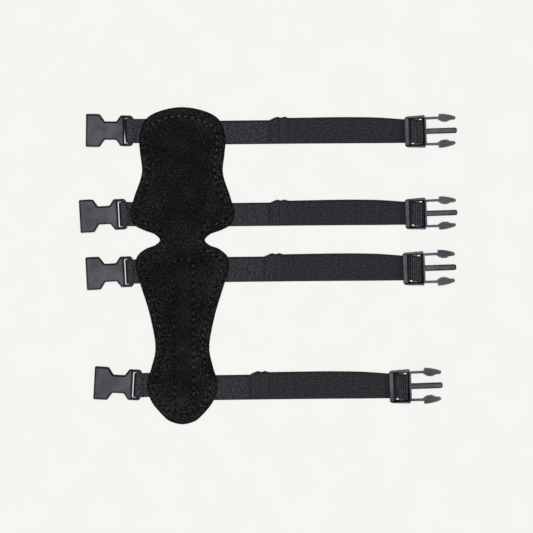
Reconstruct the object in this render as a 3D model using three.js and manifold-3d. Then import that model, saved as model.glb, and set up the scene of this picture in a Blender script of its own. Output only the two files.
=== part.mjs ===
// Arm guard laid flat: a suede panel for the upper arm and forearm, and four straps with
// side release buckles.
// Millimetres, +Z up. X runs across the arm and Y along it, with the upper arm at +Y.
// The origin is on the panel's flat back, on its centreline and halfway along it.

import * as THREE from "three";
import { mergeVertices } from "three/addons/utils/BufferGeometryUtils.js";
import Module from "manifold-3d";

const wasm = await Module();
wasm.setup();

// Driving dimensions

// Air left between pieces that touch on the real guard.
const GAP = 0.3;

const WEBBING = { width: 25, thickness: 1.3 };

// The panel is face and backing sewn together, so it is thinnest along its border.
const PANEL = { thickness: 2.4, crown: 0.5, rows: 80, bluntEnd: 0.006 };

// Half-widths of the panel from its upper end to its wrist end; the outline is a smooth curve through them.
const PANEL_OUTLINE = [
  { y: 165.2, half: 0 },
  { y: 159.7, half: 26.8 },
  { y: 151.2, half: 39.0 },
  { y: 134.5, half: 44.8 },
  { y: 116.0, half: 43.6 },
  { y: 97.0, half: 41.8 },
  { y: 72.0, half: 49.8 },
  { y: 54.0, half: 54.4 },
  { y: 43.0, half: 50.6 },
  { y: 37.0, half: 40.2 },
  { y: 32.4, half: 28.4 },
  { y: 26.6, half: 23.4 },
  { y: 21.6, half: 28.0 },
  { y: 17.4, half: 38.2 },
  { y: 9.5, half: 47.0 },
  { y: -1.0, half: 48.8 },
  { y: -19.6, half: 43.3 },
  { y: -53.0, half: 33.3 },
  { y: -86.3, half: 28.1 },
  { y: -106.0, half: 32.0 },
  { y: -123.8, half: 36.9 },
  { y: -140.5, half: 32.6 },
  { y: -157.1, half: 19.2 },
  { y: -162.3, half: 12.3 },
  { y: -165.4, half: 0 },
];

// Columns of the panel's surface, as shares of the half-width.
const PANEL_COLUMNS = [-1, -0.8, -0.6, -0.45, -0.3, 0, 0.3, 0.45, 0.6, 0.8, 1];

// Sewn channel for the forearm stay: a low ridge with an arched upper end.
const CHANNEL = { centre: 2, half: 10, top: 4, arch: 2.6, bottom: -151, rise: 1.2, edge: 1.1, root: 2 };

// Straps from the upper arm to the wrist. tab: the loop that holds the socket buckle, at the left edge.
// strap: the long elastic at the right edge, its folded return layer, free hem and plug buckle.
const STRAPS = [
  {
    name: "upper_arm",
    tab: { y: 140.4, barX: -54.2, turn: -0.6 },
    strap: { y: 138.8, returnY: 141.2, hemX: 92.7, plugX: 232.8, plugY: 139.6, turn: 1.7 },
  },
  {
    name: "above_elbow",
    tab: { y: 53.7, barX: -61.2, turn: 3.2 },
    strap: { y: 53.4, returnY: 55.2, hemX: 92.9, plugX: 233.4, plugY: 54.0, turn: 1.7 },
  },
  {
    name: "below_elbow",
    tab: { y: -6.0, barX: -54.8, turn: 3 },
    strap: { y: -3.4, returnY: -1.3, hemX: 88.0, plugX: 230.9, plugY: -3.0, turn: 1.5 },
  },
  {
    name: "wrist",
    tab: { y: -123.9, barX: -45.7, turn: -2.8 },
    strap: { y: -126.6, returnY: -124.1, hemX: 71.5, plugX: 216.9, plugY: -125.9, turn: 1.8 },
  },
];

// A strap end lies under the panel from this share of the panel's half-width outwards.
const STRAP_END_SHARE = 0.64;

// Where the panel drapes over a strap end: shares of the half-width across the arm,
// and distances past the strap's edge along it.
const DRAPE = { startShare: 0.3, fullShare: 0.6, fullPast: 6, endPast: 16, slack: 0.4 };

// How far the two layers of a strap bow apart sideways.
const BOW = { load: -0.4, return: 1.3 };

// Folded hem at a strap's free end: its length, the ramp up to it and how far its turned-under end
// stops short.
const HEM = { length: 14, rise: 6, short: 1 };

// Room beside the plug's bars, which lie a little askew in the webbing.
const SKEW_ROOM = 0.45;

// Points along a webbing: on a long run, a wrap round a bar, a slope and a short run.
const STEPS = { run: 12, wrap: 8, slope: 8, short: 2 };

// Socket half, measured from its mouth towards the strap.
const SOCKET = {
  length: 48.6,
  height: 8.6,
  edge: 0.9,
  wall: 1.6,
  mouthHalf: 17,
  mouthLength: 13.6,
  waistHalf: 9.3,
  waistStart: 19.2,
  waistEnd: 31.6,
  flareEnd: 36.7,
  bodyEnd: 40.8,
  corner: 2.6,
  frameHalf: 15.7,
  frameLow: 1,
  frameHigh: 5.8,
  slotHalf: 13.2,
  catchX: 12.6,
  channelEnd: 34,
  ribInner: 3.6,
  ribOuter: 5,
};
const SOCKET_BAR = { centreX: 46.2, half: 2.4, low: 1.9, high: 4.9 };

// Plug half, measured from the free edge of its outer bar towards the barbs.
const PLUG = {
  frameLength: 21.6,
  plateStart: 19.1,
  outerHalf: 15.7,
  plateHalf: 16.7,
  windowHalf: 13.4,
  corner: 3,
  railHeight: 5.9,
  plateHeight: 8.6,
  edge: 0.5,
  tongueEnd: 54,
  tongueHalf: 2.6,
  tongueLow: 2.7,
  tongueHigh: 5.9,
  armLow: 2,
  armHigh: 6.6,
};
const OUTER_BAR = { start: 0, end: 4.7, low: 3.2, high: 5.8 };
const INNER_BAR = { start: 7.2, end: 16.4, low: 1.6, high: 4.2 };

// One barbed arm from the front plate to its tip: x along the arm, y out from the buckle's middle.
const ARM_OUTLINE = [
  { x: 20.5, y: 12.5 },
  { x: 33.5, y: 12.9 },
  { x: 38.2, y: 10.0 },
  { x: 43.4, y: 10.0 },
  { x: 46.2, y: 11.7 },
  { x: 51.2, y: 12.2 },
  { x: 52.2, y: 13.4 },
  { x: 51.6, y: 15.0 },
  { x: 46.6, y: 17.1 },
  { x: 40.3, y: 17.7 },
  { x: 34.4, y: 17.6 },
  { x: 34.4, y: 15.3 },
  { x: 33.0, y: 14.9 },
  { x: 20.5, y: 14.4 },
];

// Materials

const materials = {
  suede: { color: 0x1b1b1c, roughness: 0.95, metalness: 0 },
  webbing: { color: 0x323236, roughness: 0.8, metalness: 0 },
  plastic: { color: 0x55555b, roughness: 0.45, metalness: 0 },
};

// Solids

function solidOf(geometry) {
  const bare = geometry.clone();
  bare.deleteAttribute("normal");
  bare.deleteAttribute("uv");
  const merged = mergeVertices(bare, 1e-4);
  const vertProperties = new Float32Array(merged.attributes.position.array);
  const triVerts = new Uint32Array(merged.index.array);
  return new wasm.Manifold(new wasm.Mesh({ numProp: 3, vertProperties, triVerts }));
}

function geometryOf(solid) {
  const { vertProperties, triVerts } = solid.getMesh();
  const geometry = new THREE.BufferGeometry();
  geometry.setAttribute("position", new THREE.BufferAttribute(new Float32Array(vertProperties), 3));
  geometry.setIndex(new THREE.BufferAttribute(new Uint32Array(triVerts), 1));
  return withFlatNormals(geometry);
}

function withFlatNormals(geometry) {
  const loose = geometry.index ? geometry.toNonIndexed() : geometry;
  loose.computeVertexNormals();
  return loose;
}

// A plan outline raised from low to high, with its upper and lower edges rounded by edge.
function prism(shape, low, high, edge = 0) {
  const geometry = new THREE.ExtrudeGeometry(shape, {
    depth: high - low - 2 * edge,
    bevelEnabled: edge > 0,
    bevelThickness: edge,
    bevelSize: edge,
    bevelOffset: -edge,
    bevelSegments: 2,
    curveSegments: 5,
  });
  return geometry.translate(0, 0, low + edge);
}

// A side view in X and Z carried along Y, centred on Y = 0.
function across(shape, width) {
  const geometry = new THREE.ExtrudeGeometry(shape, { depth: width, bevelEnabled: false, curveSegments: 5 });
  return geometry.rotateX(Math.PI / 2).translate(0, width / 2, 0);
}

function block(x, y, z) {
  const size = [x[1] - x[0], y[1] - y[0], z[1] - z[0]];
  const centre = [(x[0] + x[1]) / 2, (y[0] + y[1]) / 2, (z[0] + z[1]) / 2];
  return new THREE.BoxGeometry(...size).translate(...centre);
}

function joined(geometries) {
  return geometries.map(solidOf).reduce((whole, next) => whole.add(next));
}

function mirroredShape(points) {
  const far = points.map(({ x, y }) => new THREE.Vector2(x, -y));
  const near = points.map(({ x, y }) => new THREE.Vector2(x, y)).reverse();
  return new THREE.Shape([...far, ...near]);
}

// A bar's rounded section, with half-round ends.
function barSection({ start, end, low, high }) {
  const radius = (high - low) / 2;
  const middle = (high + low) / 2;
  const shape = new THREE.Shape();
  shape.absarc(end - radius, middle, radius, -Math.PI / 2, Math.PI / 2, false);
  shape.absarc(start + radius, middle, radius, Math.PI / 2, (3 * Math.PI) / 2, false);
  return shape;
}

function smooth(from, to, value) {
  return THREE.MathUtils.smoothstep(value, from, to);
}

// Panel

function panelRows() {
  const right = PANEL_OUTLINE.map(({ y, half }) => new THREE.Vector3(half, y, 0));
  const left = PANEL_OUTLINE.slice(1, -1).map(({ y, half }) => new THREE.Vector3(-half, y, 0));
  const outline = new THREE.CatmullRomCurve3([...right, ...left.reverse()], true, "centripetal");
  outline.arcLengthDivisions = 1000;
  const rows = [];
  for (let i = 0; i <= PANEL.rows; i += 1) {
    const share = THREE.MathUtils.lerp(PANEL.bluntEnd, 1 - PANEL.bluntEnd, i / PANEL.rows);
    const point = outline.getPointAt(share / 2);
    rows.push({ y: point.y, half: point.x });
  }
  return rows;
}

const rows = panelRows();

// The panel's widest half-width along the width of a strap.
function halfOverStrap(y) {
  const reach = WEBBING.width / 2;
  const covered = rows.filter((row) => Math.abs(row.y - y) <= reach);
  return Math.max(...covered.map((row) => row.half));
}

// Height of the panel's back above the table: it lifts over the strap ends and lies flat elsewhere.
function backHeight(share, y) {
  const spread = smooth(DRAPE.startShare, DRAPE.fullShare, Math.abs(share));
  const layers = share < 0 ? 2 : 1;
  const lift = layers * WEBBING.thickness + (layers - 1) * GAP + DRAPE.slack;
  const edge = WEBBING.width / 2;
  const lifts = STRAPS.map(({ tab, strap }) => {
    const away = Math.abs(y - (share < 0 ? tab.y : strap.y));
    return lift * spread * (1 - smooth(edge + DRAPE.fullPast, edge + DRAPE.endPast, away));
  });
  return Math.max(...lifts);
}

function panelSheet() {
  const last = PANEL_COLUMNS.length - 1;
  const positions = [];
  const index = [];
  const addPoint = (x, y, z) => positions.push(x, y, z) / 3 - 1;
  const ring = rows.map(({ y, half }) =>
    PANEL_COLUMNS.map((share) => {
      const low = backHeight(share, y);
      const high = low + PANEL.thickness + PANEL.crown * (1 - share * share);
      return { low: addPoint(half * share, y, low), high: addPoint(half * share, y, high) };
    }),
  );
  const quad = (a, b, c, d) => index.push(a, b, c, a, c, d);
  for (let i = 0; i < PANEL.rows; i += 1) {
    const [upper, lower] = [ring[i], ring[i + 1]];
    for (let j = 0; j < last; j += 1) {
      quad(upper[j].high, lower[j].high, lower[j + 1].high, upper[j + 1].high);
      quad(upper[j].low, upper[j + 1].low, lower[j + 1].low, lower[j].low);
    }
    quad(upper[0].low, lower[0].low, lower[0].high, upper[0].high);
    quad(upper[last].low, upper[last].high, lower[last].high, lower[last].low);
  }
  const [first, final] = [ring[0], ring[PANEL.rows]];
  for (let j = 0; j < last; j += 1) {
    quad(first[j].low, first[j].high, first[j + 1].high, first[j + 1].low);
    quad(final[j].low, final[j + 1].low, final[j + 1].high, final[j].high);
  }
  const geometry = new THREE.BufferGeometry();
  geometry.setAttribute("position", new THREE.Float32BufferAttribute(positions, 3));
  geometry.setIndex(index);
  return geometry;
}

function channelRidge() {
  const { centre, half, top, arch, bottom, rise, edge, root } = CHANNEL;
  const shape = new THREE.Shape();
  shape.moveTo(centre - half, bottom);
  shape.lineTo(centre + half, bottom);
  shape.lineTo(centre + half, top);
  shape.quadraticCurveTo(centre, top + 2 * arch, centre - half, top);
  const high = PANEL.thickness + PANEL.crown + rise;
  return prism(shape, root - edge, high, edge);
}

const panelGeometry = geometryOf(joined([panelSheet(), channelRidge()]));

// Webbing

// A webbing that follows a line of points in X and Z. place moves each of its corners to where it lies.
function ribbon(line, place) {
  const positions = [];
  const index = [];
  const quad = (a, b, c, d) => index.push(a, b, c, a, c, d);
  line.forEach((point, i) => {
    const before = line[Math.max(i - 1, 0)];
    const after = line[Math.min(i + 1, line.length - 1)];
    const along = new THREE.Vector2().subVectors(after, before).normalize();
    for (const [side, face] of [[-1, -1], [1, -1], [1, 1], [-1, 1]]) {
      const x = point.x - (face * along.y * WEBBING.thickness) / 2;
      const z = point.y + (face * along.x * WEBBING.thickness) / 2;
      positions.push(...place(new THREE.Vector3(x, (side * WEBBING.width) / 2, z)));
    }
  });
  const corners = [0, 1, 2, 3];
  for (let i = 0; i + 1 < line.length; i += 1) {
    const [here, next] = [4 * i, 4 * i + 4];
    corners.forEach((k) => quad(here + k, here + ((k + 1) % 4), next + ((k + 1) % 4), next + k));
  }
  const final = 4 * line.length - 4;
  quad(3, 2, 1, 0);
  quad(final, final + 1, final + 2, final + 3);
  const geometry = new THREE.BufferGeometry();
  geometry.setAttribute("position", new THREE.Float32BufferAttribute(positions, 3));
  geometry.setIndex(index);
  return withFlatNormals(geometry);
}

function straight(from, to, steps) {
  return Array.from({ length: steps + 1 }, (_, i) => from.clone().lerp(to, i / steps));
}

function turn(centre, radius, fromDegrees, toDegrees, steps) {
  return Array.from({ length: steps + 1 }, (_, i) => {
    const angle = THREE.MathUtils.degToRad(fromDegrees + ((toDegrees - fromDegrees) * i) / steps);
    return new THREE.Vector2(centre.x + radius * Math.cos(angle), centre.y + radius * Math.sin(angle));
  });
}

// An S from one level to another, flat at both ends.
function easing(from, to, steps) {
  return Array.from({ length: steps + 1 }, (_, i) => {
    const share = i / steps;
    const height = THREE.MathUtils.lerp(from.y, to.y, 0.5 - 0.5 * Math.cos(Math.PI * share));
    return new THREE.Vector2(THREE.MathUtils.lerp(from.x, to.x, share), height);
  });
}

// Joins runs of points, each of which starts where the one before it ends.
function path(first, ...others) {
  return [...first, ...others.flatMap((run) => run.slice(1))];
}

const at = (x, z) => new THREE.Vector2(x, z);
const HALF_THICKNESS = WEBBING.thickness / 2;
const LAYER_STEP = WEBBING.thickness + GAP;
const LOAD_LEVEL = HALF_THICKNESS;
const RETURN_LEVEL = LOAD_LEVEL + LAYER_STEP;
const HEM_LEVEL = RETURN_LEVEL + LAYER_STEP;

function strapGeometry({ y, returnY, hemX, plugX, plugY }) {
  const innerX = STRAP_END_SHARE * halfOverStrap(y);
  const innerRadius = (INNER_BAR.high - INNER_BAR.low) / 2;
  const overLevel = INNER_BAR.high + GAP + HALF_THICKNESS;
  const wrapRadius = (overLevel - LOAD_LEVEL) / 2;
  const frontX = plugX + INNER_BAR.end - innerRadius + SKEW_ROOM;
  const rearX = plugX + INNER_BAR.start + innerRadius - SKEW_ROOM;
  const underX = plugX + OUTER_BAR.end - (OUTER_BAR.high - OUTER_BAR.low) / 2 + SKEW_ROOM;
  const hemTurn = LAYER_STEP / 2;
  const hemCentre = at(hemX + hemTurn + HALF_THICKNESS, RETURN_LEVEL + hemTurn);
  const hemEnd = hemX + HEM.length;
  const line = path(
    straight(at(innerX, LOAD_LEVEL), at(frontX, LOAD_LEVEL), STEPS.run),
    turn(at(frontX, LOAD_LEVEL + wrapRadius), wrapRadius, -90, 90, STEPS.wrap),
    straight(at(frontX, overLevel), at(rearX, overLevel), STEPS.short),
    easing(at(rearX, overLevel), at(underX, RETURN_LEVEL), STEPS.slope),
    straight(at(underX, RETURN_LEVEL), at(hemEnd + HEM.rise, RETURN_LEVEL), STEPS.run),
    easing(at(hemEnd + HEM.rise, RETURN_LEVEL), at(hemEnd, HEM_LEVEL), STEPS.slope),
    straight(at(hemEnd, HEM_LEVEL), at(hemCentre.x, HEM_LEVEL), STEPS.short),
    turn(hemCentre, hemTurn, 90, 270, STEPS.wrap),
    straight(at(hemCentre.x, RETURN_LEVEL), at(hemEnd - HEM.short, RETURN_LEVEL), STEPS.short),
  );
  const between = (LOAD_LEVEL + RETURN_LEVEL) / 2;
  return ribbon(line, (point) => {
    const toPlug = THREE.MathUtils.clamp((point.x - innerX) / (plugX - innerX), 0, 1);
    const fromHem = THREE.MathUtils.clamp((point.x - hemX) / (plugX - hemX), 0, 1);
    const load = THREE.MathUtils.lerp(y, plugY, toPlug) + BOW.load * Math.sin(Math.PI * toPlug);
    const back = THREE.MathUtils.lerp(returnY, plugY, fromHem) + BOW.return * Math.sin(Math.PI * fromHem);
    point.y += point.z < between ? load : back;
    return point;
  });
}

function tabGeometry({ y, barX, turn: degrees }) {
  const widest = halfOverStrap(y);
  const endX = -STRAP_END_SHARE * widest;
  const panelX = -widest;
  const barRadius = (SOCKET_BAR.high - SOCKET_BAR.low) / 2;
  const barMiddle = (SOCKET_BAR.high + SOCKET_BAR.low) / 2;
  const wrap = barRadius + GAP + HALF_THICKNESS;
  const wrapX = barX - SOCKET_BAR.half + barRadius;
  const line = path(
    straight(at(endX, LOAD_LEVEL), at(panelX, LOAD_LEVEL), STEPS.short),
    easing(at(panelX, LOAD_LEVEL), at(barX + SOCKET_BAR.half, barMiddle - wrap), STEPS.slope),
    straight(at(barX + SOCKET_BAR.half, barMiddle - wrap), at(wrapX, barMiddle - wrap), STEPS.short),
    turn(at(wrapX, barMiddle), wrap, 270, 90, STEPS.wrap),
    straight(at(wrapX, barMiddle + wrap), at(barX + barRadius / 2, barMiddle + wrap), STEPS.short),
    easing(at(barX + barRadius / 2, barMiddle + wrap), at(panelX - GAP, RETURN_LEVEL), STEPS.slope),
    straight(at(panelX - GAP, RETURN_LEVEL), at(endX, RETURN_LEVEL), STEPS.short),
  );
  return ribbon(line, (point) => {
    const share = 1 - smooth(barX + SOCKET_BAR.half, panelX, point.x);
    const angle = THREE.MathUtils.degToRad(degrees) * share;
    const [dx, dy] = [point.x - barX, point.y];
    point.x = barX + dx * Math.cos(angle) - dy * Math.sin(angle);
    point.y = y + dx * Math.sin(angle) + dy * Math.cos(angle);
    return point;
  });
}

// Buckles

function socketGeometry() {
  const s = SOCKET;
  const body = mirroredShape([
    { x: 0, y: s.mouthHalf - s.corner / 2 },
    { x: s.corner / 2, y: s.mouthHalf },
    { x: s.mouthLength, y: s.mouthHalf },
    { x: s.waistStart, y: s.waistHalf },
    { x: s.bodyEnd - s.edge, y: s.waistHalf },
    { x: s.bodyEnd, y: s.waistHalf - s.edge },
  ]);
  const frame = mirroredShape([
    { x: s.waistEnd - s.wall, y: s.waistHalf - s.wall },
    { x: s.waistEnd, y: s.waistHalf },
    { x: s.flareEnd, y: s.frameHalf },
    { x: s.length - s.corner, y: s.frameHalf },
    { x: s.length - s.corner / 4, y: s.frameHalf - s.corner / 2 },
    { x: s.length, y: s.slotHalf },
  ]);
  const barEnds = { start: SOCKET_BAR.centreX - SOCKET_BAR.half, end: SOCKET_BAR.centreX + SOCKET_BAR.half };
  const bar = barSection({ ...barEnds, low: SOCKET_BAR.low, high: SOCKET_BAR.high });
  const wide = 2 * s.mouthHalf;
  const hollow = [s.wall, s.height - s.wall];
  const throughFrame = [-1, s.height + 1];
  const chamber = block([-1, s.catchX], [s.wall - s.mouthHalf, s.mouthHalf - s.wall], hollow);
  const tongueWay = block([s.catchX - 1, s.channelEnd], [-s.ribInner, s.ribInner], hollow);
  const sideWay = block([s.catchX, s.waistEnd - s.wall], [s.ribOuter, wide], hollow);
  const otherSideWay = block([s.catchX, s.waistEnd - s.wall], [-wide, -s.ribOuter], hollow);
  const slot = block([s.bodyEnd, s.length + 1], [-s.slotHalf, s.slotHalf], throughFrame);
  const arms = solidOf(prism(frame, s.frameLow, s.frameHigh)).subtract(solidOf(slot));
  const shell = solidOf(prism(body, 0, s.height, s.edge))
    .add(arms)
    .add(solidOf(across(bar, 2 * s.slotHalf + 1)));
  const ways = [chamber, tongueWay, sideWay, otherSideWay].map(solidOf);
  return geometryOf(ways.reduce((rest, way) => rest.subtract(way), shell));
}

function plugGeometry() {
  const p = PLUG;
  const outline = mirroredShape([
    { x: 0, y: p.outerHalf - p.corner },
    { x: p.corner * 0.3, y: p.outerHalf - p.corner * 0.3 },
    { x: p.corner, y: p.outerHalf },
    { x: p.frameLength, y: p.plateHalf },
  ]);
  const tongue = mirroredShape([
    { x: p.plateStart, y: p.tongueHalf },
    { x: p.tongueEnd - p.tongueHalf / 2, y: p.tongueHalf },
    { x: p.tongueEnd, y: p.tongueHalf / 2 },
  ]);
  const arm = new THREE.Shape(ARM_OUTLINE.map(({ x, y }) => new THREE.Vector2(x, y)));
  const otherArm = new THREE.Shape(ARM_OUTLINE.map(({ x, y }) => new THREE.Vector2(x, -y)).reverse());
  const window = block([-1, p.plateStart], [-p.windowHalf, p.windowHalf], [-1, p.plateHeight]);
  const plate = block([p.plateStart, p.frameLength], [-p.plateHalf, p.plateHalf], [0, p.plateHeight]);
  const rails = solidOf(prism(outline, 0, p.railHeight, p.edge)).subtract(solidOf(window));
  const pieces = [
    plate,
    across(barSection(OUTER_BAR), 2 * p.windowHalf + 1),
    across(barSection(INNER_BAR), 2 * p.windowHalf + 1),
    prism(tongue, p.tongueLow, p.tongueHigh),
    prism(arm, p.armLow, p.armHigh),
    prism(otherArm, p.armLow, p.armHigh),
  ];
  return geometryOf(rails.add(joined(pieces)));
}

// Assembly

function piece(name, geometry, finish) {
  const mesh = new THREE.Mesh(geometry, new THREE.MeshStandardMaterial(finish));
  mesh.name = name;
  return mesh;
}

// A buckle in a group of its own, turned about the point that the strap holds.
function buckle(name, geometry, x, y, degrees, holdX) {
  const mesh = piece(name, geometry.clone(), materials.plastic);
  mesh.position.x = -holdX;
  const group = new THREE.Group();
  group.add(mesh);
  group.position.set(x, y, 0);
  group.rotation.z = THREE.MathUtils.degToRad(degrees);
  return group;
}

const socket = socketGeometry();
const plug = plugGeometry();
const guard = new THREE.Group();
guard.add(piece("suede_panel", panelGeometry, materials.suede));
for (const { name, tab, strap } of STRAPS) {
  guard.add(piece(`${name}_tab`, tabGeometry(tab), materials.webbing));
  guard.add(buckle(`${name}_buckle_socket`, socket, tab.barX, tab.y, tab.turn, SOCKET_BAR.centreX));
  guard.add(piece(`${name}_strap`, strapGeometry(strap), materials.webbing));
  guard.add(buckle(`${name}_buckle_plug`, plug, strap.plugX, strap.plugY, strap.turn, 0));
}

export default guard;
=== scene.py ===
"""Looks of an arm guard laid flat: a suede panel, four elastic straps and their side release buckles.

Sizes are in millimetres and become metres when a piece is finished. X runs across the arm towards the plug
buckles, Y along the arm towards the shoulder, and Z up out of the suede face.
"""

import logging
import math
from collections.abc import Callable, Sequence
from dataclasses import dataclass, field
from enum import Enum
from functools import partial

import bmesh
import bpy
import numpy as np
from mathutils import Matrix, Vector
from mathutils.kdtree import KDTree


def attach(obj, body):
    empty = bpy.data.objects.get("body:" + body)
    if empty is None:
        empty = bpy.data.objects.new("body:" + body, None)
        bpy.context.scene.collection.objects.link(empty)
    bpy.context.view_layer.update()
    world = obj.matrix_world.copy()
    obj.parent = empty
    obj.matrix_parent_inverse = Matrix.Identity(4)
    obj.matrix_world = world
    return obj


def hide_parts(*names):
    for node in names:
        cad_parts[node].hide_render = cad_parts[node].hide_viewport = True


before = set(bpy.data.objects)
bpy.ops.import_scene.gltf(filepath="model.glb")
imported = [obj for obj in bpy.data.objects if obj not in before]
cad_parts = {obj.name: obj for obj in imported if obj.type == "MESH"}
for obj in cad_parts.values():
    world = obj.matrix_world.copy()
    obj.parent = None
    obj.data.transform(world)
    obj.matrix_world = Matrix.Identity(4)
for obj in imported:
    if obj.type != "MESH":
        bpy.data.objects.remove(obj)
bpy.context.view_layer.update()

LOG = logging.getLogger("arm_guard")
MM = 0.001

Point = tuple[float, float]
# A corner of an outline: its place in plan and how far it is rounded.
Corner = tuple[float, float, float]

# Half-widths of the panel from its upper end to its wrist end: the height along the arm, then the half-width.
PANEL_OUTLINE: tuple[Point, ...] = (
    (165.2, 0.0),
    (159.7, 26.8),
    (151.2, 39.0),
    (134.5, 44.8),
    (116.0, 43.8),
    (97.0, 42.2),
    (72.0, 49.8),
    (54.0, 54.4),
    (43.0, 50.6),
    (37.0, 40.2),
    (32.4, 28.4),
    (26.6, 23.4),
    (21.6, 28.0),
    (17.4, 38.2),
    (9.5, 47.0),
    (-1.0, 48.8),
    (-19.6, 43.5),
    (-53.0, 33.6),
    (-86.3, 28.1),
    (-106.0, 32.0),
    (-123.8, 36.9),
    (-140.5, 32.6),
    (-157.1, 19.5),
    (-162.3, 12.8),
    (-165.4, 0.0),
)

# One barbed arm of a plug, from its front plate to its tip: the place along the arm, the place out from the
# buckle's middle, and how far the corner is rounded.
ARM_OUTLINE: tuple[Corner, ...] = (
    (21.0, 12.35, 0.0),
    (33.8, 12.4, 1.2),
    (37.2, 10.1, 1.2),
    (39.8, 9.4, 1.0),
    (43.6, 9.4, 1.0),
    (46.8, 10.9, 0.8),
    (51.4, 11.3, 0.9),
    (52.8, 12.7, 1.0),
    (51.8, 14.4, 1.2),
    (47.2, 15.9, 1.6),
    (41.2, 17.1, 1.6),
    (35.3, 17.5, 0.3),
    (35.3, 15.2, 0.3),
    (34.0, 14.7, 0.5),
    (21.0, 14.5, 0.0),
)

# The low ridge on a barb that the thumb presses, in the same measures.
BARB_RIDGE: tuple[Corner, ...] = (
    (36.6, 12.8, 0.6),
    (40.5, 11.5, 0.8),
    (46.2, 12.4, 0.8),
    (50.6, 12.9, 0.4),
    (46.2, 14.2, 0.8),
    (36.6, 15.6, 0.6),
)

# How far a bar runs into the rails that hold it.
BAR_ROOT = 0.6
# How far a shape that is cut out of a buckle runs past the buckle's end, and the heights that cut it through.
PAST_FACE = 1.0
THROUGH: Point = (-2.0, 12.0)


class Slot(Enum):
    """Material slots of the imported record."""

    SUEDE = "suede"
    WEBBING = "webbing"
    PLASTIC = "buckle_plastic"


class Combining(Enum):
    """Ways to combine two closed shapes."""

    JOIN = "UNION"
    CUT = "DIFFERENCE"


def smoothstep(low: float, high: float, value: np.ndarray) -> np.ndarray:
    """Eases from 0 at low to 1 at high."""
    share = np.clip((value - low) / (high - low), 0.0, 1.0)
    return share * share * (3.0 - 2.0 * share)


def bump(distance: np.ndarray, width: float) -> np.ndarray:
    """A rounded bump that is 1 in its middle and falls off over width."""
    return np.exp(-((distance / width) ** 2))


@dataclass(frozen=True)
class Stretch:
    """A change along a piece, such as a shade: its strength, and from where to where it sets in and fades."""

    strength: float
    sets_in: Point | None = None
    fades: Point | None = None

    def at(self, along: np.ndarray) -> np.ndarray:
        """Works out how strong the change is.

        Args:
            along: distances from the place that the stretch is measured from.

        Returns:
            The strength at each distance.
        """
        shown = np.full(len(along), self.strength)
        if self.sets_in:
            shown = shown * smoothstep(*self.sets_in, along)
        if self.fades:
            shown = shown * (1.0 - smoothstep(*self.fades, along))
        return shown


def unit_rows(rows: np.ndarray) -> np.ndarray:
    """Rows of a table, each scaled to length 1."""
    return rows / np.linalg.norm(rows, axis=1)[:, None]


def linear(colour: str) -> tuple[float, float, float, float]:
    """Turns an sRGB hex colour to linear light.

    Args:
        colour: the colour as #rrggbb.

    Returns:
        Red, green, blue and an alpha of 1.
    """
    shares = [int(colour[i : i + 2], 16) / 255.0 for i in (1, 3, 5)]
    light = [s / 12.92 if s <= 0.04045 else ((s + 0.055) / 1.055) ** 2.4 for s in shares]
    return (*light, 1.0)


def add_node(
    tree: bpy.types.NodeTree, kind: str, inputs: dict[str | int, object] | None = None, **settings: object
) -> bpy.types.Node:
    """Adds one node with its settings and links.

    Args:
        tree: the material's or world's nodes.
        kind: the node's type name.
        inputs: for each input, by name or number, a plain value or the output that feeds it.
        settings: the node's own properties.

    Returns:
        The new node.
    """
    node = tree.nodes.new(kind)
    for name, value in settings.items():
        setattr(node, name, value)
    for socket, value in (inputs or {}).items():
        if isinstance(value, bpy.types.NodeSocket):
            tree.links.new(value, node.inputs[socket])
        else:
            node.inputs[socket].default_value = value
    return node


def set_ramp(node: bpy.types.Node, stops: Sequence[tuple[float, str]]) -> None:
    """Gives a colour ramp its stops.

    Args:
        node: the colour ramp.
        stops: two or more places from 0 to 1, each with its colour.
    """
    elements = node.color_ramp.elements
    while len(elements) < len(stops):
        elements.new(0.5)
    for element, (place, colour) in zip(elements, stops):
        element.position = place
        element.color = linear(colour)


# Adds one node to the material that is being made.
AddNode = Callable[..., bpy.types.Node]


@dataclass(frozen=True)
class Finish:
    """A material that is made once and shared by the pieces that wear it."""

    name: str

    def material(self) -> bpy.types.Material:
        """Gives this finish's material, made on its first use.

        Returns:
            The shared material.
        """
        known = bpy.data.materials.get(self.name)
        if known:
            return known
        made = bpy.data.materials.new(self.name)
        made.use_nodes = True
        made.node_tree.nodes.clear()
        add = partial(add_node, made.node_tree)
        add("ShaderNodeOutputMaterial", {"Surface": self.shader(add).outputs["BSDF"]})
        return made

    def shader(self, add: AddNode) -> bpy.types.Node:
        """Adds the nodes of this finish and returns its shader."""
        raise NotImplementedError


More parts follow.
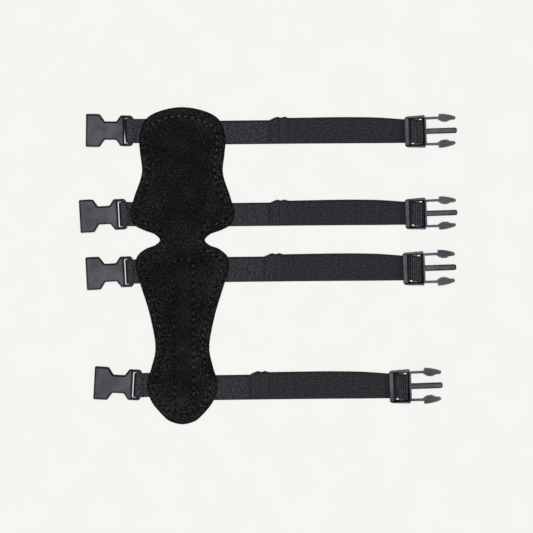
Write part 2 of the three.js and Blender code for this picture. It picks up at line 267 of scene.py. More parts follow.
@dataclass(frozen=True)
class BuffedSuede(Finish):
    """Split leather, dyed black and buffed to a short nap.

    The nap kills all gloss. It lies in soft clouds, its tips catch a little light, and along the border,
    where the panel is handled and turned at the machine, the tufts stand up paler.
    """

    name: str = "black_buffed_suede"
    deep: str = "#060606"
    nap: str = "#101010"
    tip: str = "#313131"
    # Needle holes are painted near black: painted shade inside the holes.
    hole: str = "#020202"
    cut: str = "#17120f"
    # Nap fibres are about 0.2 mm, too fine to show, so they are drawn as tufts.
    tuft_mm: float = 1.5
    cloud_mm: float = 26.0
    tuft_height_mm: float = 0.5
    # How far the tufts stand apart in tone, and how much more along the border.
    contrast: float = 1.28
    border_contrast: float = 0.85
    cloud_share: float = 0.3
    worn_share: float = 0.1

    def shader(self, add: AddNode) -> bpy.types.Node:
        """Adds tufts in clouds, the needle holes in painted shade, the cut edge and a fine relief.

        Args:
            add: adds one node to the material.

        Returns:
            The shader.
        """
        place = add("ShaderNodeTexCoord").outputs["Object"]
        border, tone_shift, needle, cut = (
            add("ShaderNodeAttribute", attribute_name=name).outputs["Fac"]
            for name in ("border", "tone_shift", "needle", "cut")
        )
        tuft = add(
            "ShaderNodeTexNoise",
            {"Vector": place, "Scale": 1.0 / (self.tuft_mm * MM), "Detail": 3.0, "Roughness": 0.65},
        ).outputs["Fac"]
        cloud = add(
            "ShaderNodeTexNoise",
            {"Vector": place, "Scale": 1.0 / (self.cloud_mm * MM), "Detail": 2.0, "Roughness": 0.5},
        ).outputs["Fac"]
        spread = add(
            "ShaderNodeMath",
            {0: border, 1: self.border_contrast, 2: self.contrast},
            operation="MULTIPLY_ADD",
        ).outputs[0]
        about = add("ShaderNodeMath", {0: tuft, 1: 0.5}, operation="SUBTRACT").outputs[0]
        raised = 0.5
        for pattern, share in ((about, spread), (cloud, self.cloud_share), (tone_shift, self.worn_share)):
            raised = add(
                "ShaderNodeMath", {0: pattern, 1: share, 2: raised}, operation="MULTIPLY_ADD"
            ).outputs[0]
        tone = add("ShaderNodeValToRGB", {"Fac": raised})
        set_ramp(tone, [(0.46, self.deep), (0.66, self.nap), (0.92, self.tip)])
        colour = tone.outputs["Color"]
        for marked, mark_colour in ((needle, self.hole), (cut, self.cut)):
            colour = add(
                "ShaderNodeMix", {"Factor": marked, 6: colour, 7: linear(mark_colour)}, data_type="RGBA"
            ).outputs[2]
        relief = add(
            "ShaderNodeBump", {"Height": tuft, "Strength": 0.6, "Distance": self.tuft_height_mm * MM}
        )
        return add(
            "ShaderNodeBsdfPrincipled",
            {
                "Base Color": colour,
                "Roughness": 0.95,
                "IOR": 1.45,
                "Specular IOR Level": 0.06,
                "Sheen Weight": 0.04,
                "Sheen Roughness": 0.5,
                "Normal": relief.outputs["Normal"],
            },
        )


@dataclass(frozen=True)
class WovenElastic(Finish):
    """Elastic webbing: rubber cores wrapped and woven in with textured polyester yarn.

    The yarn scatters light softly, a little blue, and the gaps between the picks stay dark. Where the webbing
    is sewn or pulled round a bar, the weave opens and its picks show. Shade is painted into the colour: in
    the troughs between the ribs, along the selvedges, at the tight turns and where other pieces would shade
    it.
    """

    name: str = "woven_elastic_webbing"
    yarn: str = "#25242a"
    pick: str = "#3c3b43"
    other_pick: str = "#2d2c32"
    gap: str = "#040406"
    # The colour of the painted shade: rib troughs, selvedges, turns and places under other pieces.
    shade: str = "#0a090f"
    width_mm: float = 25.0
    run_mm: float = 500.0
    # The picks of such webbing are about 0.8 mm apart, too fine to show, so they are drawn coarser.
    pick_mm: float = 2.3
    pick_gap_mm: float = 0.75
    yarn_height_mm: float = 0.22
    fuzz_mm: float = 1.4
    streak: float = 1.8
    # How far the picks show where the weave is closed. Where it is opened they show in full.
    closed_share: float = 0.15

    def shader(self, add: AddNode) -> bpy.types.Node:
        """Adds the picks, the fuzz of the yarn, the painted shade and a fine relief.

        Args:
            add: adds one node to the material.

        Returns:
            The shader.
        """
        weave = add("ShaderNodeUVMap", uv_map="weave").outputs["UV"]
        opened, shaded = (
            add("ShaderNodeAttribute", attribute_name=name).outputs["Fac"] for name in ("opened", "shaded")
        )
        size = add(
            "ShaderNodeMapping", {"Vector": weave, "Scale": (self.run_mm, self.width_mm, 1.0)}
        ).outputs["Vector"]
        picks = add(
            "ShaderNodeTexBrick",
            {
                "Vector": size,
                "Color1": linear(self.pick),
                "Color2": linear(self.other_pick),
                "Mortar": linear(self.gap),
                "Scale": 1.0,
                "Mortar Size": self.pick_gap_mm,
                "Mortar Smooth": 0.8,
                "Brick Width": self.pick_mm,
                "Row Height": self.width_mm,
            },
            offset=0.0,
        )
        drawn = add("ShaderNodeMapping", {"Vector": size, "Scale": (1.0 / self.streak, 1.0, 1.0)})
        fuzz = add(
            "ShaderNodeTexNoise",
            {"Vector": drawn.outputs["Vector"], "Scale": 1.0 / self.fuzz_mm, "Detail": 2.0},
        )
        shown = add(
            "ShaderNodeMath",
            {0: opened, 1: 1.0 - self.closed_share, 2: self.closed_share},
            operation="MULTIPLY_ADD",
        ).outputs[0]
        dyed = add(
            "ShaderNodeMix",
            {"Factor": shown, 6: linear(self.yarn), 7: picks.outputs["Color"]},
            data_type="RGBA",
        )
        tone = add(
            "ShaderNodeMapRange",
            {"Value": fuzz.outputs["Fac"], "From Min": 0.35, "From Max": 0.65, "To Min": 0.1, "To Max": 1.9},
        )
        mottled = add(
            "ShaderNodeHueSaturation", {"Color": dyed.outputs[2], "Value": tone.outputs["Result"]}
        )
        colour = add(
            "ShaderNodeMix",
            {"Factor": shaded, 6: mottled.outputs["Color"], 7: linear(self.shade)},
            data_type="RGBA",
        )
        height = add("ShaderNodeMath", {0: picks.outputs["Fac"], 1: shown}, operation="MULTIPLY")
        relief = add(
            "ShaderNodeBump",
            {"Height": height.outputs[0], "Strength": 0.8, "Distance": self.yarn_height_mm * MM},
            invert=True,
        )
        return add(
            "ShaderNodeBsdfPrincipled",
            {
                "Base Color": colour.outputs[2],
                "Roughness": 0.8,
                "IOR": 1.5,
                "Specular IOR Level": 0.3,
                "Sheen Weight": 0.1,
                "Sheen Roughness": 0.45,
                "Normal": relief.outputs["Normal"],
            },
        )


@dataclass(frozen=True)
class MouldedAcetal(Finish):
    """Black acetal, injection moulded in a spark-eroded mould.

    The mould leaves a fine even grain on the flat faces, which scatters light and turns them a cool grey.
    Shade is painted dark on the rounded rims and on the low faces.
    """

    name: str = "moulded_black_acetal"
    body: str = "#333239"
    flow: str = "#504f58"
    # The dark colour that paints shade on the rims and low faces.
    smooth: str = "#070709"
    # The grain of the mould is about 0.1 mm, too fine to show, so it is drawn coarser.
    grain_mm: float = 1.3
    grain_height_mm: float = 0.03
    flow_mm: float = 14.0

    def shader(self, add: AddNode) -> bpy.types.Node:
        """Adds the mould's grain, the cloudy tone of the flow and the painted shade on the rims and low
        faces.

        Args:
            add: adds one node to the material.

        Returns:
            The shader.
        """
        place = add("ShaderNodeTexCoord").outputs["Object"]
        grain, flow = (
            add(
                "ShaderNodeTexNoise",
                {"Vector": place, "Scale": 1.0 / (size * MM), "Detail": 2.0, "Roughness": roughness},
            ).outputs["Fac"]
            for size, roughness in ((self.grain_mm, 0.6), (self.flow_mm, 0.5))
        )
        mottled = add("ShaderNodeMath", {0: grain, 1: flow}, operation="MULTIPLY")
        tone = add("ShaderNodeValToRGB", {"Fac": mottled.outputs[0]})
        set_ramp(tone, [(0.14, self.body), (0.36, self.flow)])
        # The rim mark paints shade: rims and low faces take the dark colour.
        rim = add("ShaderNodeAttribute", attribute_name="rim")
        moulded = add(
            "ShaderNodeMix",
            {"Factor": rim.outputs["Fac"], 6: tone.outputs["Color"], 7: linear(self.smooth)},
            data_type="RGBA",
        )
        rough = add(
            "ShaderNodeMapRange",
            {"Value": grain, "From Min": 0.3, "From Max": 0.7, "To Min": 0.5, "To Max": 0.6},
        )
        relief = add(
            "ShaderNodeBump", {"Height": grain, "Strength": 0.5, "Distance": self.grain_height_mm * MM}
        )
        return add(
            "ShaderNodeBsdfPrincipled",
            {
                "Base Color": moulded.outputs[2],
                "Roughness": rough.outputs["Result"],
                "IOR": 1.48,
                "Specular IOR Level": 0.16,
                "Normal": relief.outputs["Normal"],
            },
        )


@dataclass(frozen=True)
class BondedThread(Finish):
    """Bonded nylon sewing thread, black and faintly shiny, so its stitches show paler than the nap."""

    name: str = "bonded_nylon_thread"
    strand: str = "#3c3c3e"
    groove: str = "#1a1a1b"
    # The plies of the thread are about 0.3 mm wide, too fine to show, so they are drawn coarser.
    ply_mm: float = 0.9
    ply_height_mm: float = 0.15

    def shader(self, add: AddNode) -> bpy.types.Node:
        """Adds the plies of the thread.

        Args:
            add: adds one node to the material.

        Returns:
            The shader.
        """
        place = add("ShaderNodeTexCoord").outputs["Object"]
        ply = add(
            "ShaderNodeTexNoise", {"Vector": place, "Scale": 1.0 / (self.ply_mm * MM), "Detail": 2.0}
        ).outputs["Fac"]
        tone = add("ShaderNodeValToRGB", {"Fac": ply})
        set_ramp(tone, [(0.36, self.groove), (0.56, self.strand)])
        relief = add(
            "ShaderNodeBump", {"Height": ply, "Strength": 0.5, "Distance": self.ply_height_mm * MM}
        )
        return add(
            "ShaderNodeBsdfPrincipled",
            {
                "Base Color": tone.outputs["Color"],
                "Roughness": 0.5,
                "IOR": 1.53,
                "Sheen Weight": 0.1,
                "Normal": relief.outputs["Normal"],
            },
        )


@dataclass(frozen=True)
class BackgroundPaper(Finish):
    """Matte background paper, a warm white with no gloss."""

    name: str = "matte_background_paper"
    sheet: str = "#f0f1ec"
    fleck: str = "#edeee9"
    pulp_mm: float = 40.0

    def shader(self, add: AddNode) -> bpy.types.Node:
        """Adds the faint clouds of the pulp.

        Args:
            add: adds one node to the material.

        Returns:
            The shader.
        """
        place = add("ShaderNodeTexCoord").outputs["Object"]
        pulp = add("ShaderNodeTexNoise", {"Vector": place, "Scale": 1.0 / (self.pulp_mm * MM)})
        tone = add("ShaderNodeValToRGB", {"Fac": pulp.outputs["Fac"]})
        set_ramp(tone, [(0.3, self.fleck), (0.7, self.sheet)])
        return add(
            "ShaderNodeBsdfPrincipled",
            {"Base Color": tone.outputs["Color"], "Roughness": 0.95, "Specular IOR Level": 0.1},
        )


SUEDE = BuffedSuede()
ELASTIC = WovenElastic()
# A paler copy of the webbing for the tabs: painted light that offsets the shade on their slopes to the panel.
PAINTED_LIGHTER_TAB_ELASTIC = WovenElastic("woven_elastic_tab_painted_lighter", yarn="#2b2a31")
ACETAL = MouldedAcetal()
# A paler copy of the acetal for the plugs: painted light that stands in for the light on their barbs and
# bars.
PAINTED_LIGHTER_ACETAL = MouldedAcetal("black_acetal_painted_lighter", body="#38373e", flow="#57565f")
THREAD = BondedThread()
PAPER = BackgroundPaper()


def finish_piece(
    name: str, shape: bmesh.types.BMesh, finish: Finish, nodes: Sequence[str] = ()
) -> bpy.types.Object:
    """Makes a shape in millimetres a piece of the guard, in metres and at the origin.

    Args:
        name: the piece's name.
        shape: the closed shape, which is used up.
        finish: what the piece is made of.
        nodes: the CAD nodes that the piece stands for.

    Returns:
        The piece's object.
    """
    bmesh.ops.scale(shape, vec=(MM, MM, MM), verts=shape.verts)
    mesh = bpy.data.meshes.new(name)
    shape.to_mesh(mesh)
    shape.free()
    mesh.materials.append(finish.material())
    piece = bpy.data.objects.new(name, mesh)
    bpy.context.scene.collection.objects.link(piece)
    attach(piece, "root")
    if nodes:
        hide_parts(*nodes)
    LOG.info("%s: %d faces", name, len(mesh.polygons))
    return piece


def unit_grid(columns: int, rows: int) -> tuple[bmesh.types.BMesh, np.ndarray, np.ndarray]:
    """Starts a shape as a flat grid of faces.

    Args:
        columns: faces across.
        rows: faces along.

    Returns:
        The shape, and for each of its points the column and the row that it stands on.
    """
    shape = bmesh.new()
    bmesh.ops.create_grid(shape, x_segments=columns, y_segments=rows, size=1.0)
    places = np.array([point.co[:2] for point in shape.verts])
    shares = (places - places.min(axis=0)) / np.ptp(places, axis=0)
    column = np.rint(shares[:, 0] * columns).astype(int)
    row = np.rint(shares[:, 1] * rows).astype(int)
    return shape, column, row


def move_points(shape: bmesh.types.BMesh, places: np.ndarray) -> None:
    """Moves each point of a shape to its new place."""
    for point, place in zip(shape.verts, places.tolist()):
        point.co = place


def smooth_faces(shape: bmesh.types.BMesh, crease_degrees: float = 180.0) -> None:
    """Shades a shape smoothly, apart from its sharp edges.

    Args:
        shape: the shape.
        crease_degrees: the angle between two faces from which their edge is sharp.
    """
    limit = math.radians(crease_degrees)
    for face in shape.faces:
        face.smooth = True
    for edge in shape.edges:
        edge.smooth = edge.calc_face_angle(0.0) < limit


def arc_lengths(line: np.ndarray) -> np.ndarray:
    """Distance of each point of a line from its start."""
    steps = np.linalg.norm(np.diff(line, axis=0), axis=1)
    return np.concatenate([[0.0], np.cumsum(steps)])


def along_line(line: np.ndarray, distance: np.ndarray) -> np.ndarray:
    """Points of a line at the given distances from its start."""
    lengths = arc_lengths(line)
    return np.stack([np.interp(distance, lengths, line[:, k]) for k in range(line.shape[1])], axis=1)


def closed_curve(points: np.ndarray, per_span: int) -> np.ndarray:
    """A smooth closed curve through points, a centripetal Catmull-Rom spline.

    Args:
        points: the points in order, without a repeated end.
        per_span: how many points each span gets.

    Returns:
        The points of the curve.
    """
    share = np.linspace(0.0, 1.0, per_span, endpoint=False)[:, None]
    runs = []
    for i in range(len(points)):
        before, start, end, after = (points[(i + k) % len(points)] for k in (-1, 0, 1, 2))
        back, span, ahead = (
            math.sqrt(np.linalg.norm(q - p)) for p, q in ((before, start), (start, end), (end, after))
        )
        leave = ((start - before) / back - (end - before) / (back + span) + (end - start) / span) * span
        arrive = ((end - start) / span - (after - start) / (span + ahead) + (after - end) / ahead) * span
        runs.append(
            (2 * share**3 - 3 * share**2 + 1) * start
            + (share**3 - 2 * share**2 + share) * leave
            + (3 * share**2 - 2 * share**3) * end
            + (share**3 - share**2) * arrive
        )
    return np.concatenate(runs)


@dataclass
class StrapPlace:
    """How wide one strap is pulled, and where it lies with its tab, its return and its two buckle halves."""

    name: str
    width: float
    tab_y: float
    bar_x: float
    tab_turn: float
    loop_turn: float
    loop_slack: float
    strap_y: float
    return_y: float
    hem_x: float
    plug_x: float
    plug_y: float
    plug_turn: float
    # The plug's length and width as shares of the modelled ones: the lower two plugs are wider.
    plug_size: Point


STRAP_PLACES: tuple[StrapPlace, ...] = (
    StrapPlace(
        "upper_arm", width=24.85, strap_y=138.7, return_y=141.05, hem_x=91.3,
        tab_y=140.4, bar_x=-54.2, tab_turn=-0.6, loop_turn=3.5, loop_slack=1.35,
        plug_x=231.87, plug_y=139.2, plug_turn=2.0, plug_size=(1.0, 1.007),
    ),
    StrapPlace(
        "above_elbow", width=24.4, strap_y=53.05, return_y=54.9, hem_x=91.3,
        tab_y=53.7, bar_x=-60.7, tab_turn=3.2, loop_turn=0.0, loop_slack=1.0,
        plug_x=232.32, plug_y=53.62, plug_turn=1.9, plug_size=(1.0, 0.988),
    ),
    StrapPlace(
        "below_elbow", width=26.25, strap_y=-4.2, return_y=-1.85, hem_x=85.9,
        tab_y=-6.15, bar_x=-54.0, tab_turn=3.0, loop_turn=0.0, loop_slack=1.0,
        plug_x=230.0, plug_y=-3.5, plug_turn=2.05, plug_size=(1.024, 1.066),
    ),
    StrapPlace(
        "wrist", width=26.1, strap_y=-127.35, return_y=-124.6, hem_x=71.1,
        tab_y=-124.4, bar_x=-45.7, tab_turn=-3.1, loop_turn=0.0, loop_slack=1.0,
        plug_x=215.8, plug_y=-126.45, plug_turn=2.0, plug_size=(1.022, 1.063),
    ),
)


@dataclass
class Seam:
    """A sewn line on the panel, in plan, with a whole number of stitches."""

    line: np.ndarray
    pitch: float
    reach: float = 12.0
    lengths: np.ndarray = field(init=False)
    tree: KDTree = field(init=False)

    def __post_init__(self) -> None:
        """Fits the stitch pitch to the line and indexes the line's points."""
        self.lengths = arc_lengths(self.line)
        self.pitch = self.lengths[-1] / max(1, round(self.lengths[-1] / self.pitch))
        self.tree = KDTree(len(self.line))
        for i, (x, y) in enumerate(self.line.tolist()):
            self.tree.insert((x, y, 0.0), i)
        self.tree.balance()

    def near(self, plan: np.ndarray) -> tuple[np.ndarray, np.ndarray]:
        """Finds the seam from points of the panel.

        Args:
            plan: points as rows of x and y.

        Returns:
            For each point its distance from the seam, or the seam's reach where it is further off, and how
            far along the seam its nearest point lies.
        """
        distance, along = np.full(len(plan), self.reach), np.zeros(len(plan))
        low, high = self.line.min(axis=0) - self.reach, self.line.max(axis=0) + self.reach
        close = np.flatnonzero(np.all((plan > low) & (plan < high), axis=1))
        found = [self.tree.find((x, y, 0.0)) for x, y in plan[close].tolist()]
        distance[close] = [hit[2] for hit in found]
        along[close] = self.lengths[[hit[1] for hit in found]]
        return distance, along

    def middles(self) -> np.ndarray:
        """Distances along the seam of the middle of each stitch."""
        count = round(self.lengths[-1] / self.pitch)
        return (np.arange(count) + 0.5) * self.pitch


@dataclass
class Stitching:
    """Stitches of one thread, each a short length that dives into the leather or webbing at both ends."""

    thread: float = 0.95
    length: float = 5.5
    flatness: float = 0.75
    dive: float = 0.75
    # How bluntly a stitch ends, and how far its middle lies above the surface, as a share of the thread.
    blunt: int = 6
    proud: float = 0.22
    around: int = 6
    rings: int = 8
    shape: bmesh.types.BMesh = field(default_factory=bmesh.new)

    def lay(
        self,
        middles: np.ndarray,
        directions: np.ndarray,
        height: Callable[[np.ndarray], np.ndarray],
        upward: float = 1.0,
        sunk: np.ndarray | float = 0.0,
    ) -> None:
        """Lays stitches on a surface.

        Args:
            middles: the middle of each stitch in plan.
            directions: the direction of each stitch in plan, of length 1.
            height: gives the height of the surface at points in plan.
            upward: 1 on an upper face and -1 on a lower one.
            sunk: how deep each stitch lies in the surface.
        """
        points, centres, offsets = [], [], []
        for middle, way, deep in zip(middles, directions, np.broadcast_to(sunk, len(middles))):
            made = bmesh.ops.create_uvsphere(
                self.shape, u_segments=self.around, v_segments=self.rings, radius=1.0
            )["verts"]
            ball = np.array([point.co for point in made])
            share = np.clip(ball[:, 2], -1.0, 1.0)
            ring = np.linalg.norm(ball[:, :2], axis=1)
            unit = ball[:, :2] / np.maximum(ring, 1e-6)[:, None]
            radius = 0.5 * self.thread * np.sqrt(np.clip(1.0 - share**self.blunt, 0.0, 1.0))
            aside = np.array((-way[1], way[0]))
            points.extend(made)
            centres.append(middle + np.outer(share * 0.5 * self.length, way))
            side = (radius * unit[:, 0] * (ring > 1e-3))[:, None] * aside
            rise = radius * unit[:, 1] * self.flatness * (ring > 1e-3) - self.dive * share**self.blunt - deep
            offsets.append(np.column_stack([side, upward * (rise + self.proud * self.thread)]))
        plan, moved = np.concatenate(centres), np.concatenate(offsets)
        level = height(plan)
        for point, spot, move, z in zip(points, plan.tolist(), moved.tolist(), level.tolist()):
            point.co = (spot[0] + move[0], spot[1] + move[1], z + move[2])

    def piece(self, name: str, slot: Slot) -> None:
        """Makes the laid stitches one piece.

        Args:
            name: the piece's name.
            slot: the material slot of what is sewn; not used.
        """
        bmesh.ops.recalc_face_normals(self.shape, faces=self.shape.faces)
        smooth_faces(self.shape)
        finish_piece(name, self.shape, THREAD)


@dataclass(frozen=True)
class NapWear:
    """How handling raises and pales the panel's nap, and how far the nap is darkened along the cut edge.
    Stretches run down the arm or across it.
    """

    foot: Stretch = Stretch(1.0, (122.0, 146.0))
    foot_pale: float = 0.35
    forearm_pale: Stretch = Stretch(0.15, (0.0, 20.0))
    border_pale: float = 0.2
    right_kept: Stretch = Stretch(0.6, (10.0, 25.0))
    seam_width: float = 6.0
    elbow_raised: float = 0.6
    elbow_width: float = 13.0
    channel_pale: float = 0.15
    channel_calm: float = 0.75
    rim_dark: float = 1.5
    rim_width: float = 1.4
    cut_width: float = 0.35


@dataclass(frozen=True)
class StitchNap:
    """Where the nap closes over the panel's stitches. Stretches run along the arm or out from its middle."""

    depth: float = 0.58
    arch: Stretch = Stretch(1.0, (1.0, 3.0), (8.0, 10.0))
    arch_half: float = 13.0
    left: Stretch = Stretch(1.0, fades=(-6.0, 4.0))
    below_top: Stretch = Stretch(1.0, fades=(146.0, 153.0))
    elbow_width: float = 22.0
    elbow_out: Stretch = Stretch(1.0, (14.0, 20.0))
    foot: Stretch = Stretch(1.0, (128.0, 146.0))
    side_share: float = 0.65
    lower_share: Stretch = Stretch(0.25, fades=(80.0, 100.0))
    side_out: Stretch = Stretch(1.0, (18.0, 24.0))
    below_shoulder: Stretch = Stretch(1.0, fades=(140.0, 150.0))
    stay: Stretch = Stretch(0.8, fades=(9.0, 12.0))
    stay_half: float = 14.0


@dataclass
class SuedePanel:
    """The guard's leather: face and backing sewn together round the border and along the stay channel."""

    straps: Sequence[StrapPlace]
    thickness: float = 2.4
    crown: float = 0.5
    columns: int = 104
    rows: int = 372
    crowding: float = 0.25
    per_span: int = 24
    line_step: float = 0.5
    top_corner: float = 33.0
    foot_corner: float = 24.0
    drape_shares: Point = (0.3, 0.6)
    drape_past: Point = (6.0, 16.0)
    drape_slack: float = 0.4
    strap_end_share: float = 0.64
    strap_clearance: float = 5.0
    webbing_width: float = 25.0
    webbing_layer: float = 1.3
    layer_gap: float = 0.3
    # The border seam lies further in on the right upper arm, at the upper end and at the wrist end.
    border_inset: float = 7.5
    right_inset: float = 1.2
    right_span: Point = (-10.0, 20.0)
    upper_span: Point = (30.0, 60.0)
    top_inset: float = 1.6
    foot_inset: float = 0.6
    end_span: Point = (140.0, 160.0)
    seam_smoothing: int = 9
    stitch_pitch: float = 7.0
    stitch_uneven: float = 0.08
    stitch_stray: float = 0.05
    back_stitch_sunk: float = 0.2
    seed: int = 7
    elbow_y: float = 27.0
    hole_radius: float = 1.35
    hole_depth: float = 0.4
    seam_depth: float = 0.6
    seam_width: float = 1.7
    pucker: float = 0.16
    pucker_width: float = 3.6
    back_drawn: float = 0.45
    back_drawn_width: float = 1.3
    # Soft waves of the face, which die out towards the edge: radians a mm across and along, and the phase.
    waves: tuple[tuple[float, float, float], ...] = ((0.11, 0.05, 0.7), (0.04, -0.09, 2.1), (0.0, 0.07, 0.3))
    wave_height: float = 0.07
    wave_span: Point = (4.0, 14.0)
    channel_left: Point = (-9.7, -7.6)
    channel_right: Point = (11.1, 12.0)
    channel_ends: Point = (3.4, -152.0)
    channel_arch: float = 3.0
    channel_rise: float = 1.2
    channel_span: Point = (0.2, 3.6)
    arch_past: float = 2.2
    edge_round: float = 0.45
    edge_drop: float = 0.3
    edge_fall: float = 0.9
    layer_groove: float = 0.3
    wear: NapWear = NapWear()
    stitch_nap: StitchNap = StitchNap()
    loop: np.ndarray = field(init=False)
    right: np.ndarray = field(init=False)
    edge: Seam = field(init=False)
    border: Seam = field(init=False)
    channel: list[Seam] = field(init=False)
    seams: list[Seam] = field(init=False)

    def __post_init__(self) -> None:
        """Draws the outline and the seams."""
        right = np.array([(half, y) for y, half in PANEL_OUTLINE])
        left = right[-2:0:-1] * (-1.0, 1.0)
        self.loop = closed_curve(np.concatenate([right, left]), self.per_span)
        self.right = self.loop[: (len(right) - 1) * self.per_span + 1]
        ring = np.concatenate([self.loop, self.loop[:1]])
        length = arc_lengths(ring)[-1]
        even = along_line(ring, np.linspace(0.0, length, round(length / self.line_step) + 1))
        self.edge = Seam(even, self.stitch_pitch)
        self.border = Seam(self.inset_line(even), self.stitch_pitch)
        top, foot = self.channel_ends
        heights = np.arange(top, foot, -self.line_step)
        sides = [
            np.column_stack([np.interp(heights, (foot, top), ends[::-1]), heights])
            for ends in (self.channel_left, self.channel_right)
        ]
        across = np.arange(self.channel_left[0] - self.arch_past, self.channel_right[0], self.line_step)
        arch = np.column_stack([across, self.arch_height(across)])
        self.channel = [Seam(line, self.stitch_pitch) for line in (*sides, arch)]
        self.seams = [self.border, *self.channel]

    def inset_line(self, outline: np.ndarray) -> np.ndarray:
        """Draws the border seam: the outline moved inwards and smoothed.

        Args:
            outline: even points of the closed outline, the first one repeated at the end.

        Returns:
            The points of the seam.
        """
        ways = unit_rows(np.gradient(outline, axis=0))
        inwards = np.column_stack([ways[:, 1], -ways[:, 0]])
        x, y = outline.T
        upper_right = smoothstep(*self.right_span, x) * smoothstep(*self.upper_span, y)
        depth = self.border_inset + self.right_inset * upper_right
        depth = depth + self.top_inset * smoothstep(*self.end_span, y)
        depth = depth + self.foot_inset * smoothstep(*self.end_span, -y)
        moved = outline + inwards * depth[:, None]
        reach = self.seam_smoothing
        wrapped = np.concatenate([moved[-reach - 1 : -1], moved, moved[1 : reach + 1]])
        window = np.ones(2 * reach + 1) / (2 * reach + 1)
        return np.column_stack([np.convolve(wrapped[:, k], window, mode="valid") for k in (0, 1)])

    def arch_height(self, x: np.ndarray) -> np.ndarray:
        """Works out where the channel's arched upper end lies.

        Args:
            x: places across the panel.

        Returns:
            The height along the arm at each place.
        """
        middle = 0.5 * (self.channel_left[0] + self.channel_right[0])
        reach = 0.5 * (self.channel_right[0] - self.channel_left[0])
        return self.channel_ends[0] + self.channel_arch * (1.0 - ((x - middle) / reach) ** 2)

    def half_at(self, y: np.ndarray) -> np.ndarray:
        """The panel's half-width at heights along the arm."""
        return np.interp(y, self.right[::-1, 1], self.right[::-1, 0])

    def half_over(self, y: float) -> float:
        """The panel's widest half-width along the width of a strap."""
        covered = np.abs(self.right[:, 1] - y) <= 0.5 * self.webbing_width
        return float(self.right[covered, 0].max())

    def plan(self, u: np.ndarray, v: np.ndarray) -> np.ndarray:
        """Spreads a unit square over the outline.

        Args:
            u: shares from the left edge to the right one.
            v: shares from the wrist end to the upper end.

        Returns:
            Points in plan, as rows of x and y.
        """
        mirror = np.array((-1.0, 1.0))
        upper = int(np.argmax(self.right[:, 0] > self.top_corner))
        lower = len(self.right) - 1 - int(np.argmax(self.right[::-1, 0] > self.foot_corner))
        head, side, tail = self.right[: upper + 1], self.right[upper : lower + 1][::-1], self.right[lower:]
        top = np.concatenate([head[::-1] * mirror, head[1:]])
        foot = np.concatenate([tail * mirror, tail[::-1][1:]])
        over = along_line(top, u * arc_lengths(top)[-1])
        under = along_line(foot, u * arc_lengths(foot)[-1])
        right = along_line(side, v * arc_lengths(side)[-1])
        u, v = u[:, None], v[:, None]
        corners = (1 - v) * ((1 - u) * foot[0] + u * foot[-1]) + v * ((1 - u) * top[0] + u * top[-1])
        return (1 - v) * under + v * over + (1 - u) * right * mirror + u * right - corners

    def lift(self, plan: np.ndarray) -> np.ndarray:
        """Works out how high the panel's back lies over the table, where it drapes over the strap ends.

        Args:
            plan: points as rows of x and y.

        Returns:
            The height of the back at each point.
        """
        x, y = plan.T
        share = np.abs(x) / np.maximum(self.half_at(y), 1.0)
        spread = smoothstep(*self.drape_shares, share)
        near, far = (0.5 * self.webbing_width + past for past in self.drape_past)
        total = np.zeros(len(plan))
        for strap in self.straps:
            for side, centre, layers in ((x < 0, strap.tab_y, 2), (x >= 0, strap.strap_y, 1)):
                height = layers * self.webbing_layer + (layers - 1) * self.layer_gap + self.drape_slack
                along = 1.0 - smoothstep(near, far, np.abs(y - centre))
                total = np.maximum(total, np.where(side, height * spread * along, 0.0))
        return total

    def ridge(self, plan: np.ndarray) -> np.ndarray:
        """Works out how far the stay lifts the face between the channel's seams.

        Args:
            plan: points as rows of x and y.

        Returns:
            The rise of the face at each point.
        """
        x, y = plan.T
        top, foot = self.channel_ends
        left = np.interp(y, (foot, top), self.channel_left[::-1])
        right = np.interp(y, (foot, top), self.channel_right[::-1])
        inside = np.minimum.reduce([x - left, right - x, self.arch_height(x) - y, y - foot])
        return self.channel_rise * smoothstep(*self.channel_span, inside)

    def back(self, plan: np.ndarray) -> np.ndarray:
        """Height of the panel's back at points in plan, drawn in along its seams."""
        distance = np.minimum.reduce([seam.near(plan)[0] for seam in self.seams])
        return self.lift(plan) + self.back_drawn * bump(distance, self.back_drawn_width)

    def face(self, plan: np.ndarray) -> np.ndarray:
        """Works out the suede face, with its seams, puckers, channel, waves and rolled edge.

        Args:
            plan: points as rows of x and y.

        Returns:
            The height of the face at each point.
        """
        x, y = plan.T
        share = np.clip(np.abs(x) / np.maximum(self.half_at(y), 1.0), 0.0, 1.0)
        height = self.lift(plan) + self.thickness + self.crown * (1.0 - share**2) + self.ridge(plan)
        for seam in self.seams:
            distance, along = seam.near(plan)
            pucker = self.pucker * np.cos(2.0 * np.pi * along / seam.pitch)
            height -= self.seam_depth * bump(distance, self.seam_width)
            height -= pucker * bump(distance, self.pucker_width)
            height -= self.hole_depth * self.hole(seam, distance, along)
        rim = self.edge.near(plan)[0]
        height -= self.edge_drop * np.exp(-rim / self.edge_fall)
        wave = sum(np.sin(across * x + along * y + phase) for across, along, phase in self.waves)
        return height + self.wave_height * wave * smoothstep(*self.wave_span, rim)

    def hole(self, seam: Seam, distance: np.ndarray, along: np.ndarray) -> np.ndarray:
        """How near points at a distance from a seam and along it are to a needle hole, from 0 to 1."""
        off = np.abs((along / seam.pitch + 0.5) % 1.0 - 0.5) * seam.pitch
        return bump(np.hypot(distance, off), self.hole_radius)

